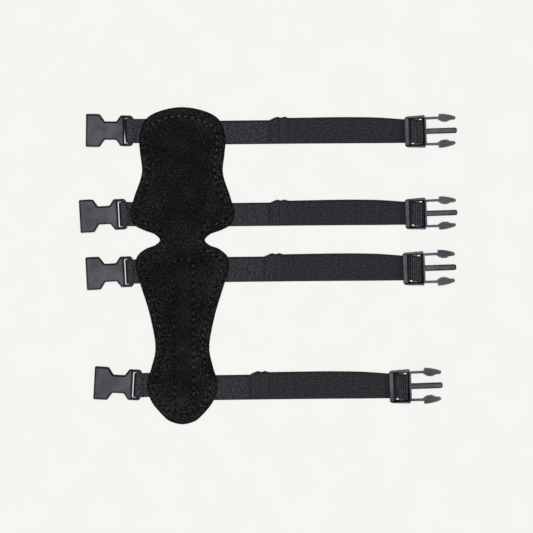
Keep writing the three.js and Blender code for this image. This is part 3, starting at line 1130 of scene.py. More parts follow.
    def build(self) -> None:
        shape, column, row = unit_grid(self.columns, self.rows)
        u = column / self.columns
        u = (1.0 - self.crowding) * u + self.crowding * (0.5 - 0.5 * np.cos(np.pi * u))
        plan = self.plan(u, row / self.rows)
        move_points(shape, np.column_stack([plan, self.back(plan)]))
        made = bmesh.ops.extrude_face_region(shape, geom=shape.faces[:])["geom"]
        upper = [item for item in made if isinstance(item, bmesh.types.BMVert)]
        plan = np.array([point.co[:2] for point in upper])
        for point, height in zip(upper, self.face(plan).tolist()):
            point.co.z = height
        self.cut_edge(shape, set(upper))
        bmesh.ops.recalc_face_normals(shape, faces=shape.faces)
        smooth_faces(shape)
        self.mark(shape)
        piece = finish_piece("panel_suede", shape, SUEDE, ["suede_panel"])

    def cut_edge(self, shape: bmesh.types.BMesh, upper: set[bmesh.types.BMVert]) -> None:
        """Rounds the cut edge and draws in the line where face and backing meet.

        Args:
            shape: the panel's shape.
            upper: the points of its face.
        """
        walls = [edge for edge in shape.edges if len(upper.intersection(edge.verts)) == 1]
        rims = {edge for wall in walls for face in wall.link_faces for edge in face.edges} - set(walls)
        split = bmesh.ops.subdivide_edges(shape, edges=walls, cuts=1)["geom_inner"]
        ways = np.gradient(self.edge.line, axis=0)
        for point in (item for item in split if isinstance(item, bmesh.types.BMVert)):
            index = self.edge.tree.find((point.co.x, point.co.y, 0.0))[1]
            inwards = Vector((ways[index, 1], -ways[index, 0], 0.0)).normalized()
            point.co += inwards * self.layer_groove
        bmesh.ops.bevel(
            shape,
            geom=list(rims),
            offset=self.edge_round,
            offset_type="OFFSET",
            segments=2,
            profile=0.5,
            affect="EDGES",
            clamp_overlap=True,
            material=-1,
        )

    def mark(self, shape: bmesh.types.BMesh) -> None:
        """Marks the needle holes, which are painted dark as shade, the border, the tone and the cut edge for
        the suede's material.

        Args:
            shape: the panel's shape.
        """
        wear = self.wear
        plan = np.array([point.co[:2] for point in shape.verts])
        x, y = plan.T
        rim = self.edge.near(plan)[0]
        foot = wear.foot.at(-y)
        elbow = wear.elbow_raised * bump(y - self.elbow_y, wear.elbow_width)
        sewn = bump(self.border.near(plan)[0], wear.seam_width)
        border = np.maximum.reduce([np.where(rim < self.border_inset, 1.0, sewn), foot, elbow])
        channel = self.ridge(plan) / self.channel_rise
        pale = wear.border_pale * border * (1.0 - wear.right_kept.at(x)) + wear.forearm_pale.at(-y)
        pale = pale + wear.foot_pale * foot + wear.channel_pale * channel
        marks = {
            "needle": np.maximum.reduce([self.hole(seam, *seam.near(plan)) for seam in self.seams]),
            "border": border - wear.channel_calm * channel,
            "tone_shift": pale - wear.rim_dark * bump(rim, wear.rim_width),
            "cut": bump(rim, wear.cut_width),
        }
        layers = [shape.verts.layers.float.new(name) for name in marks]
        for point, values in zip(shape.verts, np.column_stack(list(marks.values())).tolist()):
            for layer, value in zip(layers, values):
                point[layer] = value

    def sew(self) -> None:
        """Lays the stitches of the border and of the channel, on the face and on the back."""
        stitching = Stitching()
        chance = np.random.default_rng(self.seed)
        for seam in self.seams:
            middles = along_line(seam.line, seam.middles())
            ways = along_line(seam.line, seam.middles() + 0.5) - along_line(seam.line, seam.middles() - 0.5)
            ways = unit_rows(ways + chance.normal(0.0, self.stitch_stray, ways.shape))
            uneven = chance.normal(0.0, self.stitch_uneven, len(middles))
            stitching.lay(middles, ways, self.face, sunk=self.sunk(middles) + uneven)
            clear = [self.clear_of_straps(middle) for middle in middles]
            stitching.lay(
                middles[clear], ways[clear], lambda plan: self.back(plan) + self.back_stitch_sunk, upward=-1.0
            )
        stitching.piece("panel_stitching", Slot.SUEDE)

    def sunk(self, middles: np.ndarray) -> np.ndarray:
        """Works out how deep the nap closes over stitches: most on the left, at the elbow and at the foot.

        Args:
            middles: the middle of each stitch in plan.

        Returns:
            The depth of each stitch.
        """
        nap = self.stitch_nap
        x, y = middles.T
        out = np.abs(x)
        arch = nap.arch.at(y) * (out < nap.arch_half)
        left = nap.left.at(x) * nap.below_top.at(y) * (1.0 - arch)
        elbow = bump(y - self.elbow_y, nap.elbow_width) * nap.elbow_out.at(out)
        side = (nap.side_share + nap.lower_share.at(y)) * nap.side_out.at(out) * nap.below_shoulder.at(y)
        stay = nap.stay.at(y) * (out < nap.stay_half)
        return nap.depth * np.maximum.reduce([left, elbow, nap.foot.at(-y), side, stay])

    def clear_of_straps(self, middle: np.ndarray) -> bool:
        """Tells whether a stitch lies away from the strap ends that cover the panel's back.

        Args:
            middle: the middle of the stitch in plan.

        Returns:
            True where no strap end covers it.
        """
        reach = 0.5 * self.webbing_width + self.strap_clearance
        centres = [strap.tab_y if middle[0] < 0 else strap.strap_y for strap in self.straps]
        beside = [y for y in centres if abs(middle[1] - y) < reach]
        ends = [self.strap_end_share * self.half_over(y) - self.strap_clearance for y in beside]
        return all(abs(middle[0]) < end for end in ends)


@dataclass
class SidePath:
    """The side view of a webbing, drawn run by run: points in X and Z from one end to the other."""

    runs: list[np.ndarray] = field(default_factory=list)
    step: float = 0.1

    def straight(self, start: Point, end: Point) -> None:
        """Adds a straight run from one point to another."""
        count = max(2, math.ceil(math.dist(start, end) / self.step))
        self.runs.append(np.linspace(start, end, count + 1))

    def wrap(self, centre: Point, radius: float, start: float, end: float) -> None:
        """Adds a turn round a centre.

        Args:
            centre: the middle of the turn.
            radius: its radius.
            start: the angle where it starts, in degrees.
            end: the angle where it ends.
        """
        count = math.ceil(abs(math.radians(end - start)) * radius / self.step)
        angle = np.radians(np.linspace(start, end, count + 1))
        self.runs.append(np.column_stack([np.cos(angle), np.sin(angle)]) * radius + centre)

    def slope(self, start: Point, end: Point) -> None:
        """Adds an S from one level to another, flat at both ends.

        Args:
            start: the point where it starts.
            end: the point where it ends.
        """
        share = np.linspace(0.0, 1.0, max(2, math.ceil(math.dist(start, end) / self.step)) + 1)
        ease = 0.5 - 0.5 * np.cos(np.pi * share)
        x = start[0] + (end[0] - start[0]) * share
        self.runs.append(np.column_stack([x, start[1] + (end[1] - start[1]) * ease]))

    def line(self) -> np.ndarray:
        """Joins the runs.

        Returns:
            All the points in order, without those that repeat.
        """
        points = np.concatenate(self.runs)
        keep = np.concatenate([[True], np.linalg.norm(np.diff(points, axis=0), axis=1) > 1e-6])
        return points[keep]


@dataclass
class Webbing:
    """Elastic webbing with a plain face and a ribbed face, swept along a side view."""

    width: float = 25.0
    thickness: float = 1.3
    ribs: int = 10
    rib_depth: float = 0.25
    # Painted shade in the rib troughs and along the selvedges; the +Y selvedge gets far more, as if lit from
    # -Y.
    trough_shade: float = 0.76
    trough_filled: float = 0.75
    selvedge_shades: Point = (0.15, 0.95)
    selvedge_insets: Point = (2.7, 1.1)
    per_rib: int = 6
    plain_columns: int = 24
    edge_columns: int = 6
    long_step: float = 2.2
    turn_step: float = 0.22
    closest: float = 3.0
    crease: float = 60.0
    roll: float = 0.0
    run_mm: float = ELASTIC.run_mm

    def section(self) -> tuple[np.ndarray, np.ndarray, np.ndarray]:
        """Draws the closed section: plain face, edge, ribbed face, edge.

        Returns:
            Points across and up, and for each one how far it lies in the painted shade of an edge and in that
            of a trough, from 0 to 1.
        """
        half, radius = 0.5 * self.width, 0.5 * self.thickness
        flat = half - radius
        plain = np.column_stack(
            [np.linspace(-flat, flat, self.plain_columns + 1), np.full(self.plain_columns + 1, radius)]
        )
        right = np.radians(np.linspace(90.0, -90.0, self.edge_columns + 1))[1:]
        across = np.linspace(flat, -flat, self.ribs * self.per_rib + 1)[1:]
        trough = 0.5 + 0.5 * np.cos(2.0 * np.pi * self.ribs * (across + flat) / (2.0 * flat))
        ribbed = np.column_stack([across, -radius + self.rib_depth * trough**2])
        left = np.radians(np.linspace(-90.0, -270.0, self.edge_columns + 1))[1:]
        edges = [
            np.column_stack([side + radius * np.cos(angle), radius * np.sin(angle)])
            for side, angle in ((flat, right), (-flat, left))
        ]
        points = np.concatenate([plain, edges[0], ribbed, edges[1]])
        near, far = self.selvedge_shades
        side = np.where(points[:, 0] > 0, far, near)
        span = [half - inset for inset in self.selvedge_insets]
        selvedge = side * smoothstep(*span, np.abs(points[:, 0]))
        troughs = np.zeros(len(points))
        first = len(plain) + len(right)
        troughs[first : first + len(ribbed)] = self.trough_shade * trough
        return points, selvedge, troughs

    def stations(self, line: np.ndarray) -> tuple[np.ndarray, np.ndarray, np.ndarray]:
        """Chooses where the section is set along a side view: close together in turns, far apart in runs.

        Args:
            line: points of the side view, close together.

        Returns:
            The chosen points, the upward direction at each, and how far along the webbing each one is.
        """
        lengths = arc_lengths(line)
        ways = unit_rows(np.gradient(line, lengths, axis=0))
        turning = np.abs(np.gradient(np.unwrap(np.arctan2(ways[:, 1], ways[:, 0])), lengths))
        density = 1.0 / self.long_step + np.minimum(turning / self.turn_step, self.closest)
        cost = np.concatenate([[0.0], np.cumsum(0.5 * (density[1:] + density[:-1]) * np.diff(lengths))])
        chosen = np.interp(np.linspace(0.0, cost[-1], math.ceil(cost[-1]) + 1), cost, lengths)
        points = along_line(line, chosen)
        forward = unit_rows(np.stack([np.interp(chosen, lengths, ways[:, k]) for k in (0, 1)], axis=1))
        return points, np.column_stack([-forward[:, 1], forward[:, 0]]), chosen

    def sweep(
        self,
        line: np.ndarray,
        place: Callable[[np.ndarray], np.ndarray],
        opened: Callable[[np.ndarray], np.ndarray],
        covered: Callable[[np.ndarray], np.ndarray],
    ) -> bmesh.types.BMesh:
        """Sweeps the section along a side view.

        Args:
            line: points of the side view, close together.
            place: moves points of the straight webbing to where they lie.
            opened: how far the weave is opened at points of the straight webbing, from 0 to 1.
            covered: how deep points of the straight webbing lie in painted shade, such as that of another
                piece, from 0 to 1.

        Returns:
            The closed shape of the webbing.
        """
        points, upward, chosen = self.stations(line)
        section, selvedge, troughs = self.section()
        shape, column, row = unit_grid(len(section) - 1, len(points) - 1)
        across, up = section[column].T
        straight = np.column_stack(
            [points[row, 0] + upward[row, 0] * up, across, points[row, 1] + upward[row, 1] * up]
        )
        move_points(shape, place(straight))
        weave = shape.loops.layers.uv.new("weave")
        stretch = shape.verts.layers.float.new("opened")
        cut = (self.roll + chosen[row]) / self.run_mm
        coordinates = np.column_stack([cut, across / self.width + 0.5]).tolist()
        shaded = shape.verts.layers.float.new("shaded")
        loose = opened(straight)
        trough = troughs[column] * (1.0 - self.trough_filled * loose)
        dark = np.maximum.reduce([selvedge[column], trough, covered(straight)])
        for point, share, deep in zip(shape.verts, loose.tolist(), dark.tolist()):
            point[stretch] = share
            point[shaded] = deep
        shape.verts.index_update()
        for face in shape.faces:
            for corner in face.loops:
                corner[weave].uv = coordinates[corner.vert.index]
        bmesh.ops.remove_doubles(shape, verts=shape.verts, dist=1e-4)
        bmesh.ops.holes_fill(shape, edges=[edge for edge in shape.edges if edge.is_boundary], sides=0)
        bmesh.ops.recalc_face_normals(shape, faces=shape.faces)
        smooth_faces(shape, self.crease)
        return shape


@dataclass
class SocketBar:
    """The bar of a socket that its tab is folded round, from the socket's mouth."""

    centre: float = 46.2
    half: float = 2.4
    low: float = 1.9
    high: float = 4.9


@dataclass
class PlugBars:
    """The two bars of a plug, from the free edge of the outer one: start, end, low and high of each."""

    outer: tuple[float, float, float, float] = (0.0, 4.2, 3.2, 5.8)
    inner: tuple[float, float, float, float] = (9.3, 15.0, 1.6, 4.2)


@dataclass(frozen=True)
class StrapLook:
    """Painted shades and the opened weave along a strap and its tab.

    Looks of the plug run from the free edge of its outer bar, those of the hem from its fold, and those of
    the tab from the front of its loop and from the panel's edge.
    """

    bar: Stretch = Stretch(1.0, (1.5, 3.0), (5.6, 7.2))
    before_plug: Stretch = Stretch(0.9, (-8.5, -3.0), (1.0, 2.0))
    turn: Stretch = Stretch(0.6, (18.6, 19.0))
    hem: Stretch = Stretch(0.22, (2.0, 3.0))
    hem_ends: Stretch = Stretch(0.22, (9.0, 20.0))
    rows: Stretch = Stretch(0.4, (9.0, 10.5), (17.5, 19.5))
    past_hem: Stretch = Stretch(0.14, (17.0, 20.0), (24.0, 50.0))
    first_row: float = 0.5
    first_row_at: float = 9.8
    first_row_width: float = 0.6
    under_fold: float = 0.8
    under_fold_at: float = -1.0
    under_fold_width: float = 1.3
    opened_hem: Stretch = Stretch(0.8, (-1.0, 3.0), (17.0, 20.0))
    closed_rows: Stretch = Stretch(0.7, (8.5, 10.5))
    opened_bar: Stretch = Stretch(1.0, (2.0, 6.0))
    opened_tab: float = 0.1
    loop: Stretch = Stretch(0.97, fades=(0.0, 0.6))
    panel_edge: Stretch = Stretch(0.25, (-3.0, 1.0))


@dataclass
class Strap:
    """One strap: the tab that holds the socket, and the elastic that runs to the plug and back to its hem."""

    spot: StrapPlace
    panel: SuedePanel
    webbing: Webbing = field(init=False)
    tab_webbing: Webbing = field(init=False)
    socket_bar: SocketBar = field(default_factory=SocketBar)
    plug_bars: PlugBars = field(default_factory=PlugBars)
    look: StrapLook = StrapLook()
    gap: float = 0.3
    skew_room: float = 0.45
    roll_step: float = 9.0
    load_bow: float = 0.2
    return_bow: float = 1.45
    bow_late: float = 1.5
    return_spread: float = 0.037
    hem_length: float = 15.2
    hem_rise: float = 5.5
    hem_short: float = 1.0
    hem_rows: tuple[float, ...] = (11.0, 13.1, 15.2, 17.3)
    hem_pitch: float = 2.15
    hem_stitches: int = 11
    hem_stitch_sunk: float = 0.15
    hem_bulges: Point = (7.7, 15.1)
    hem_taper: Stretch = Stretch(1.5, fades=(0.0, 5.2))
    row_dip: float = 0.2
    row_width: float = 0.9
    level_margin: float = 0.2
    bulge_width: float = 2.3
    bulge_sides: Point = (0.5, 1.1)
    plug_entry: float = 1.05
    plug_reach: float = 30.0
    plug_shift: Stretch = Stretch(1.35, (7.0, 16.0))
    plug_room: float = 24.4
    wrap_slack: float = 1.95
    fold_span: Point = (-4.0, 1.0)
    fold_pinch: float = 0.01
    tab_width: float = 25.2
    askew_bulge: float = 0.15

    def __post_init__(self) -> None:
        """Cuts the webbing and works out the levels of its layers."""
        roll = self.roll_step * abs(self.spot.strap_y)
        self.webbing = Webbing(self.spot.width, roll=roll)
        self.tab_webbing = Webbing(
            self.tab_width, rib_depth=0.08, trough_shade=0.15, selvedge_shades=(0.1, 0.3), roll=roll
        )
        self.load_level = 0.5 * self.webbing.thickness
        self.layer = self.webbing.thickness + self.gap
        self.return_level = self.load_level + self.layer
        self.hem_level = self.return_level + self.layer
        self.sewn_x = self.panel.strap_end_share * self.panel.half_over(self.spot.strap_y)

    def strap_line(self) -> np.ndarray:
        """Draws the strap's side view: along the table, round the plug's inner bar and back to a folded hem.

        Returns:
            Points in X and Z, close together.
        """
        spot = self.spot
        start, end, low, high = self.plug_bars.inner
        radius = 0.5 * (high - low)
        over = high + self.gap + 0.5 * self.webbing.thickness
        wrap = 0.5 * (over - self.load_level)
        front = spot.plug_x + spot.plug_size[0] * end - radius + self.skew_room + self.wrap_slack
        rear = spot.plug_x + spot.plug_size[0] * start + radius - self.skew_room
        _, outer_end, outer_low, outer_high = self.plug_bars.outer
        under = spot.plug_x + outer_end - 0.5 * (outer_high - outer_low) + self.skew_room
        turn = 0.5 * self.layer
        turn_x = spot.hem_x + turn + 0.5 * self.webbing.thickness
        hem_end = spot.hem_x + self.hem_length
        ramp = hem_end + self.hem_rise
        path = SidePath()
        path.straight((self.sewn_x, self.load_level), (front, self.load_level))
        path.wrap((front, self.load_level + wrap), wrap, -90.0, 90.0)
        path.straight((front, over), (rear, over))
        path.slope((rear, over), (under, self.return_level))
        path.straight((under, self.return_level), (ramp, self.return_level))
        path.slope((ramp, self.return_level), (hem_end, self.hem_level))
        path.straight((hem_end, self.hem_level), (turn_x, self.hem_level))
        path.wrap((turn_x, self.return_level + turn), turn, 90.0, 270.0)
        path.straight((turn_x, self.return_level), (hem_end - self.hem_short, self.return_level))
        return path.line()

    def hem_top(self, plan: np.ndarray) -> np.ndarray:
        """Works out the hem's upper face.

        Args:
            plan: points as rows of x and y.

        Returns:
            The height of the hem at each point.
        """
        share = np.clip((plan[:, 0] - self.spot.hem_x - self.hem_length) / self.hem_rise, 0.0, 1.0)
        ease = 0.5 - 0.5 * np.cos(np.pi * share)
        return self.hem_level - self.layer * ease + 0.5 * self.webbing.thickness

    def place_strap(self, points: np.ndarray) -> np.ndarray:
        """Moves points of the straight strap to where its layers lie, and swells the hem between its rows.

        Args:
            points: places on the straight strap, as rows of x, y and z.

        Returns:
            Where the points lie.
        """
        spot, half = self.spot, 0.5 * self.webbing.width
        x, y, z = points.T
        hem = x - spot.hem_x
        entry = spot.plug_y + self.plug_entry
        to_plug = np.clip((x - self.sewn_x) / (spot.plug_x - self.sewn_x), 0.0, 1.0)
        from_hem = np.clip(hem / (spot.plug_x - spot.hem_x), 0.0, 1.0)
        load = spot.strap_y + (entry - spot.strap_y) * to_plug + self.load_bow * np.sin(np.pi * to_plug)
        back = spot.return_y + (entry - spot.return_y) * from_hem
        back = back + self.return_bow * np.sin(np.pi * from_hem**self.bow_late)
        inside = np.maximum(x - spot.plug_x, 0.0)
        in_plug = self.plug_shift.at(inside) - math.tan(math.radians(spot.plug_turn)) * inside
        upper = z > 0.5 * (self.load_level + self.return_level)
        held = smoothstep(spot.plug_x - self.plug_reach, spot.plug_x, x)
        room = self.plug_room * spot.plug_size[1]
        y = y * (1.0 + (room / self.webbing.width - 1.0) * held)
        y = y * (1.0 + np.where(upper, self.return_spread, 0.0) * (1.0 - held))
        swell = sum(bump(hem - bulge, self.bulge_width) for bulge in self.hem_bulges)
        below, above = self.bulge_sides
        reach = np.where(y > 0, above, -below) * (np.abs(y) / half) ** 3
        drawn = self.hem_taper.at(hem) * np.maximum(y, 0.0) / half
        moved = y - in_plug + np.where(upper, back + reach * swell - drawn, load)
        pulled = sum(bump(hem - row, self.row_width) for row in self.hem_rows)
        on_hem = z > self.hem_level - self.load_level - self.level_margin
        return np.column_stack([x, moved, z - np.where(on_hem, self.row_dip * pulled, 0.0)])

    def strap_opened(self, points: np.ndarray) -> np.ndarray:
        """Works out how far the strap's weave is opened: at the hem's fold and over the plug's bar.

        Args:
            points: places on the straight strap, as rows of x, y and z.

        Returns:
            A share from 0 to 1 for each point.
        """
        x, _, z = points.T
        along = x - self.spot.hem_x
        hem = self.look.opened_hem.at(along) * (1.0 - self.look.closed_rows.at(along))
        bar = self.look.opened_bar.at(x - self.spot.plug_x)
        return np.where(z > self.return_level, np.maximum(hem, bar), bar)

    def strap_covered(self, points: np.ndarray) -> np.ndarray:
        """Works out how deep the strap lies in painted shade: at the plug, before the hem and between its
        rows.

        Args:
            points: places on the straight strap, as rows of x, y and z.

        Returns:
            A share from 0 to 1 for each point.
        """
        look = self.look
        x, _, z = points.T
        along, hem = x - self.spot.plug_x, x - self.spot.hem_x
        under = look.under_fold * bump(hem - look.under_fold_at, look.under_fold_width)
        sewn = look.hem.at(hem) + look.rows.at(hem) + look.past_hem.at(hem) - look.hem_ends.at(hem)
        sewn = sewn + look.first_row * bump(hem - look.first_row_at, look.first_row_width)
        at_plug = [shade.at(along) for shade in (look.bar, look.before_plug, look.turn)]
        on_load = np.where(z < self.load_level + 0.5 * self.layer, under, 0.0)
        return np.maximum.reduce([*at_plug, on_load, np.where(z > self.return_level, sewn, 0.0)])

    def tab_covered(self, points: np.ndarray) -> np.ndarray:
        """Works out how deep the tab lies in painted shade: at the front of its loop and towards the panel's
        edge.

        Args:
            points: places on the straight tab, as rows of x, y and z.

        Returns:
            A share from 0 to 1 for each point.
        """
        x = points[:, 0]
        edge = -self.panel.half_over(self.spot.tab_y)
        front = self.spot.bar_x - self.socket_bar.half
        return np.maximum(self.look.loop.at(x - front), self.look.panel_edge.at(x - edge))

    def tab_line(self) -> np.ndarray:
        """Draws the tab's side view: from under the panel round the socket's bar and back.

        Returns:
            Points in X and Z, close together.
        """
        spot, bar = self.spot, self.socket_bar
        widest = self.panel.half_over(spot.tab_y)
        end_x, panel_x = -self.panel.strap_end_share * widest, -widest
        radius = 0.5 * (bar.high - bar.low)
        middle = 0.5 * (bar.high + bar.low)
        wrap = radius + self.gap + 0.5 * self.webbing.thickness
        wrap_x = spot.bar_x - bar.half + radius
        rear = spot.bar_x + bar.half
        crest = spot.bar_x + 0.5 * radius
        path = SidePath()
        path.straight((end_x, self.load_level), (panel_x, self.load_level))
        path.slope((panel_x, self.load_level), (rear, middle - wrap))
        path.straight((rear, middle - wrap), (wrap_x, middle - wrap))
        path.wrap((wrap_x, middle), wrap, 270.0, 90.0)
        path.straight((wrap_x, middle + wrap), (crest, middle + wrap))
        path.slope((crest, middle + wrap), (panel_x - self.gap, self.return_level))
        path.straight((panel_x - self.gap, self.return_level), (end_x, self.return_level))
        return path.line()

    def place_tab(self, points: np.ndarray) -> np.ndarray:
        """Moves points of the straight tab to where it lies, turned with its socket at the bar.

        Args:
            points: places on the straight tab, as rows of x, y and z.

        Returns:
            Where the points lie.
        """
        spot = self.spot
        rear, panel_x = spot.bar_x + self.socket_bar.half, -self.panel.half_over(spot.tab_y)
        x, y, z = points.T
        fold = 1.0 - smoothstep(*(spot.bar_x + past for past in self.fold_span), x)
        y = y * (1.0 - self.fold_pinch * fold)
        across = 2.0 * y / self.tab_width
        askew = math.sin(math.radians(spot.loop_turn)) * y
        bulge = self.askew_bulge * spot.loop_turn * (1.0 - across**2)
        angle = math.radians(spot.tab_turn) * (1.0 - smoothstep(rear, panel_x, x))
        away = x - spot.bar_x - fold * (spot.loop_slack + askew + bulge)
        turned_x = spot.bar_x + away * np.cos(angle) - y * np.sin(angle)
        turned_y = spot.tab_y + away * np.sin(angle) + y * np.cos(angle)
        return np.column_stack([turned_x, turned_y, z])

    def build(self) -> None:
        """Models the tab and the strap and sews the strap's hem."""
        name = self.spot.name
        tab = self.tab_webbing.sweep(
            self.tab_line(),
            self.place_tab,
            lambda points: np.full(len(points), self.look.opened_tab),
            self.tab_covered,
        )
        # The tab wears the paler copy of the webbing: painted light on its slope.
        finish_piece(f"{name}_tab_webbing", tab, PAINTED_LIGHTER_TAB_ELASTIC, [f"{name}_tab"])
        strap = self.webbing.sweep(self.strap_line(), self.place_strap, self.strap_opened, self.strap_covered)
        finish_piece(f"{name}_strap_webbing", strap, ELASTIC, [f"{name}_strap"])
        self.sew_hem()

    def sew_hem(self) -> None:
        """Lays the rows of stitches across the hem."""
        spot, count = self.spot, self.hem_stitches
        stitching = Stitching(thread=0.75, length=1.9, dive=0.4, rings=6)
        for row in self.hem_rows:
            y = spot.return_y + (np.arange(count) - 0.5 * (count - 1)) * self.hem_pitch
            middles = np.column_stack([np.full(count, spot.hem_x + row), y])
            ways = np.tile((0.0, 1.0), (count, 1))
            stitching.lay(middles, ways, lambda plan: self.hem_top(plan) - self.hem_stitch_sunk)
        stitching.piece(f"{spot.name}_hem_stitching", Slot.WEBBING)


def rounded_outline(corners: Sequence[Corner], inset: float, rounds: int) -> np.ndarray:
    """Draws an outline in by a distance and rounds its corners.

    Args:
        corners: the corners of the outline, anticlockwise, each with its rounding.
        inset: how far the outline is drawn in.
        rounds: chords in each rounding.

    Returns:
        The closed outline, with as many points for each corner and the first one repeated at the end.
    """
    places = np.array([corner[:2] for corner in corners])
    before, after = np.roll(places, 1, axis=0), np.roll(places, -1, axis=0)
    arrive, leave = unit_rows(places - before), unit_rows(after - places)
    sine = arrive[:, 0] * leave[:, 1] - arrive[:, 1] * leave[:, 0]
    turns = np.arctan2(sine, np.sum(arrive * leave, axis=1))
    points = []
    for place, way, turn, corner in zip(places, arrive, turns, corners):
        inwards = np.array((-way[1], way[0]))
        radius = max(corner[2] - math.copysign(inset, turn), 0.0)
        tangent = radius * abs(math.tan(0.5 * turn))
        tip = place + inset * (inwards - way * math.tan(0.5 * turn))
        centre = tip - way * tangent + inwards * math.copysign(radius, turn)
        for angle in np.linspace(0.0, turn, rounds + 1):
            arm = inwards * math.cos(angle) - way * math.sin(angle)
            points.append(centre - arm * math.copysign(radius, turn))
    return np.array([*points, points[0]])


def slab(
    outline: Sequence[Corner], low: float, high: float, edge: float = 0.0, rounds: int = 3
) -> bmesh.types.BMesh:
    """Raises a plan outline into a solid with rounded edges.

    Args:
        outline: corners in plan, anticlockwise, each with its rounding.
        low: height of the lower face.
        high: height of the upper face.
        edge: how far the rims of both faces are rounded.
        rounds: faces in each rounding.

    Returns:
        The closed shape.
    """
    layers = [(0.0, low), (0.0, high)]
    if edge:
        angles = np.radians(np.linspace(0.0, 90.0, rounds + 1))
        rim = [(edge * (1.0 - math.sin(angle)), edge * (1.0 - math.cos(angle))) for angle in angles]
        layers = [(inset, low + up) for inset, up in rim]
        layers += [(inset, high - up) for inset, up in reversed(rim)]
    loops = np.array([rounded_outline(outline, inset, rounds) for inset, _ in layers])
    shape, column, row = unit_grid(loops.shape[1] - 1, len(layers) - 1)
    move_points(shape, np.column_stack([loops[row, column], np.array(layers)[row, 1]]))
    bmesh.ops.remove_doubles(shape, verts=shape.verts, dist=1e-4)
    bmesh.ops.holes_fill(shape, edges=[side for side in shape.edges if side.is_boundary], sides=0)
    bmesh.ops.recalc_face_normals(shape, faces=shape.faces)
    return shape


def mirrored(corners: Sequence[Corner]) -> list[Corner]:
    """An outline from its half at +Y: the mirror images of the corners, then the corners in reverse."""
    return [*((x, -y, rounding) for x, y, rounding in corners), *reversed(corners)]


def box(x: Point, y: Point, z: Point, edge: float = 0.0) -> bmesh.types.BMesh:
    """A block between two bounds on each axis, with rounded rims."""
    corners = [(x[0], y[0], 0.0), (x[1], y[0], 0.0), (x[1], y[1], 0.0), (x[0], y[1], 0.0)]
    return slab(corners, *z, edge)


def crosspiece(section: Sequence[Corner], half: float) -> bmesh.types.BMesh:
    """Raises a section along a buckle into a solid that runs across it.

    Args:
        section: corners in X and Z, anticlockwise, each with its rounding.
        half: how far the solid reaches on both sides.

    Returns:
        The closed shape.
    """
    shape = slab(section, -half, half, rounds=6)
    bmesh.ops.rotate(shape, cent=(0, 0, 0), matrix=Matrix.Rotation(math.pi / 2, 3, "X"), verts=shape.verts)
    return shape


def lengthwise(section: Sequence[Corner], start: float, end: float) -> bmesh.types.BMesh:
    """Raises a section across a buckle into a solid that runs along it.

    Args:
        section: corners in Y and Z, anticlockwise, each with its rounding.
        start: where the solid starts along the buckle.
        end: where it ends.

    Returns:
        The closed shape.
    """
    shape = slab(section, start, end)
    stand = Matrix(((0.0, 0.0, 1.0), (1.0, 0.0, 0.0), (0.0, 1.0, 0.0)))
    bmesh.ops.rotate(shape, cent=(0, 0, 0), matrix=stand, verts=shape.verts)
    return shape


def bar(
    start: float, end: float, low: float, high: float, half: float, rounded: float = 0.49
) -> bmesh.types.BMesh:
    """Models a bar across a buckle, with rounded front and back.

    Args:
        start: where the bar starts along the buckle.
        end: where it ends.
        low: height of its underside.
        high: height of its upper side.
        half: half of its length across the buckle.
        rounded: its rounding as a share of its height.

    Returns:
        The closed shape.
    """
    round_off = rounded * (high - low)
    return crosspiece(
        [(x, z, round_off) for x, z in ((start, low), (end, low), (end, high), (start, high))], half
    )


def combine(base: bmesh.types.BMesh, tools: Sequence[bmesh.types.BMesh], way: Combining) -> bmesh.types.BMesh:
    """Joins closed shapes to a base, or cuts them out of it.

    Args:
        base: the shape to start from, which is used up.
        tools: the shapes to join or cut, which are used up.
        way: whether they are joined or cut.

    Returns:
        The combined shape.
    """
    group = bpy.data.collections.new("combining")
    made = []
    for shape in (base, *tools):
        mesh = bpy.data.meshes.new("combining")
        shape.to_mesh(mesh)
        shape.free()
        made.append(bpy.data.objects.new("combining", mesh))
    for tool in made[1:]:
        group.objects.link(tool)
    bpy.context.scene.collection.objects.link(made[0])
    bpy.context.scene.collection.children.link(group)
    modifier = made[0].modifiers.new("combining", "BOOLEAN")
    modifier.operand_type = "COLLECTION"
    modifier.collection = group
    modifier.operation = way.value
    modifier.solver = "EXACT"
    result = bmesh.new()
    evaluated = made[0].evaluated_get(bpy.context.evaluated_depsgraph_get())
    result.from_mesh(evaluated.to_mesh())
    evaluated.to_mesh_clear()
    for item in made:
        mesh = item.data
        bpy.data.objects.remove(item)
        bpy.data.meshes.remove(mesh)
    bpy.data.collections.remove(group)
    bmesh.ops.remove_doubles(result, verts=result.verts, dist=1e-4)
    bmesh.ops.dissolve_degenerate(result, edges=result.edges, dist=1e-4)
    bmesh.ops.delete(result, geom=[vert for vert in result.verts if not vert.link_faces], context="VERTS")
    return result


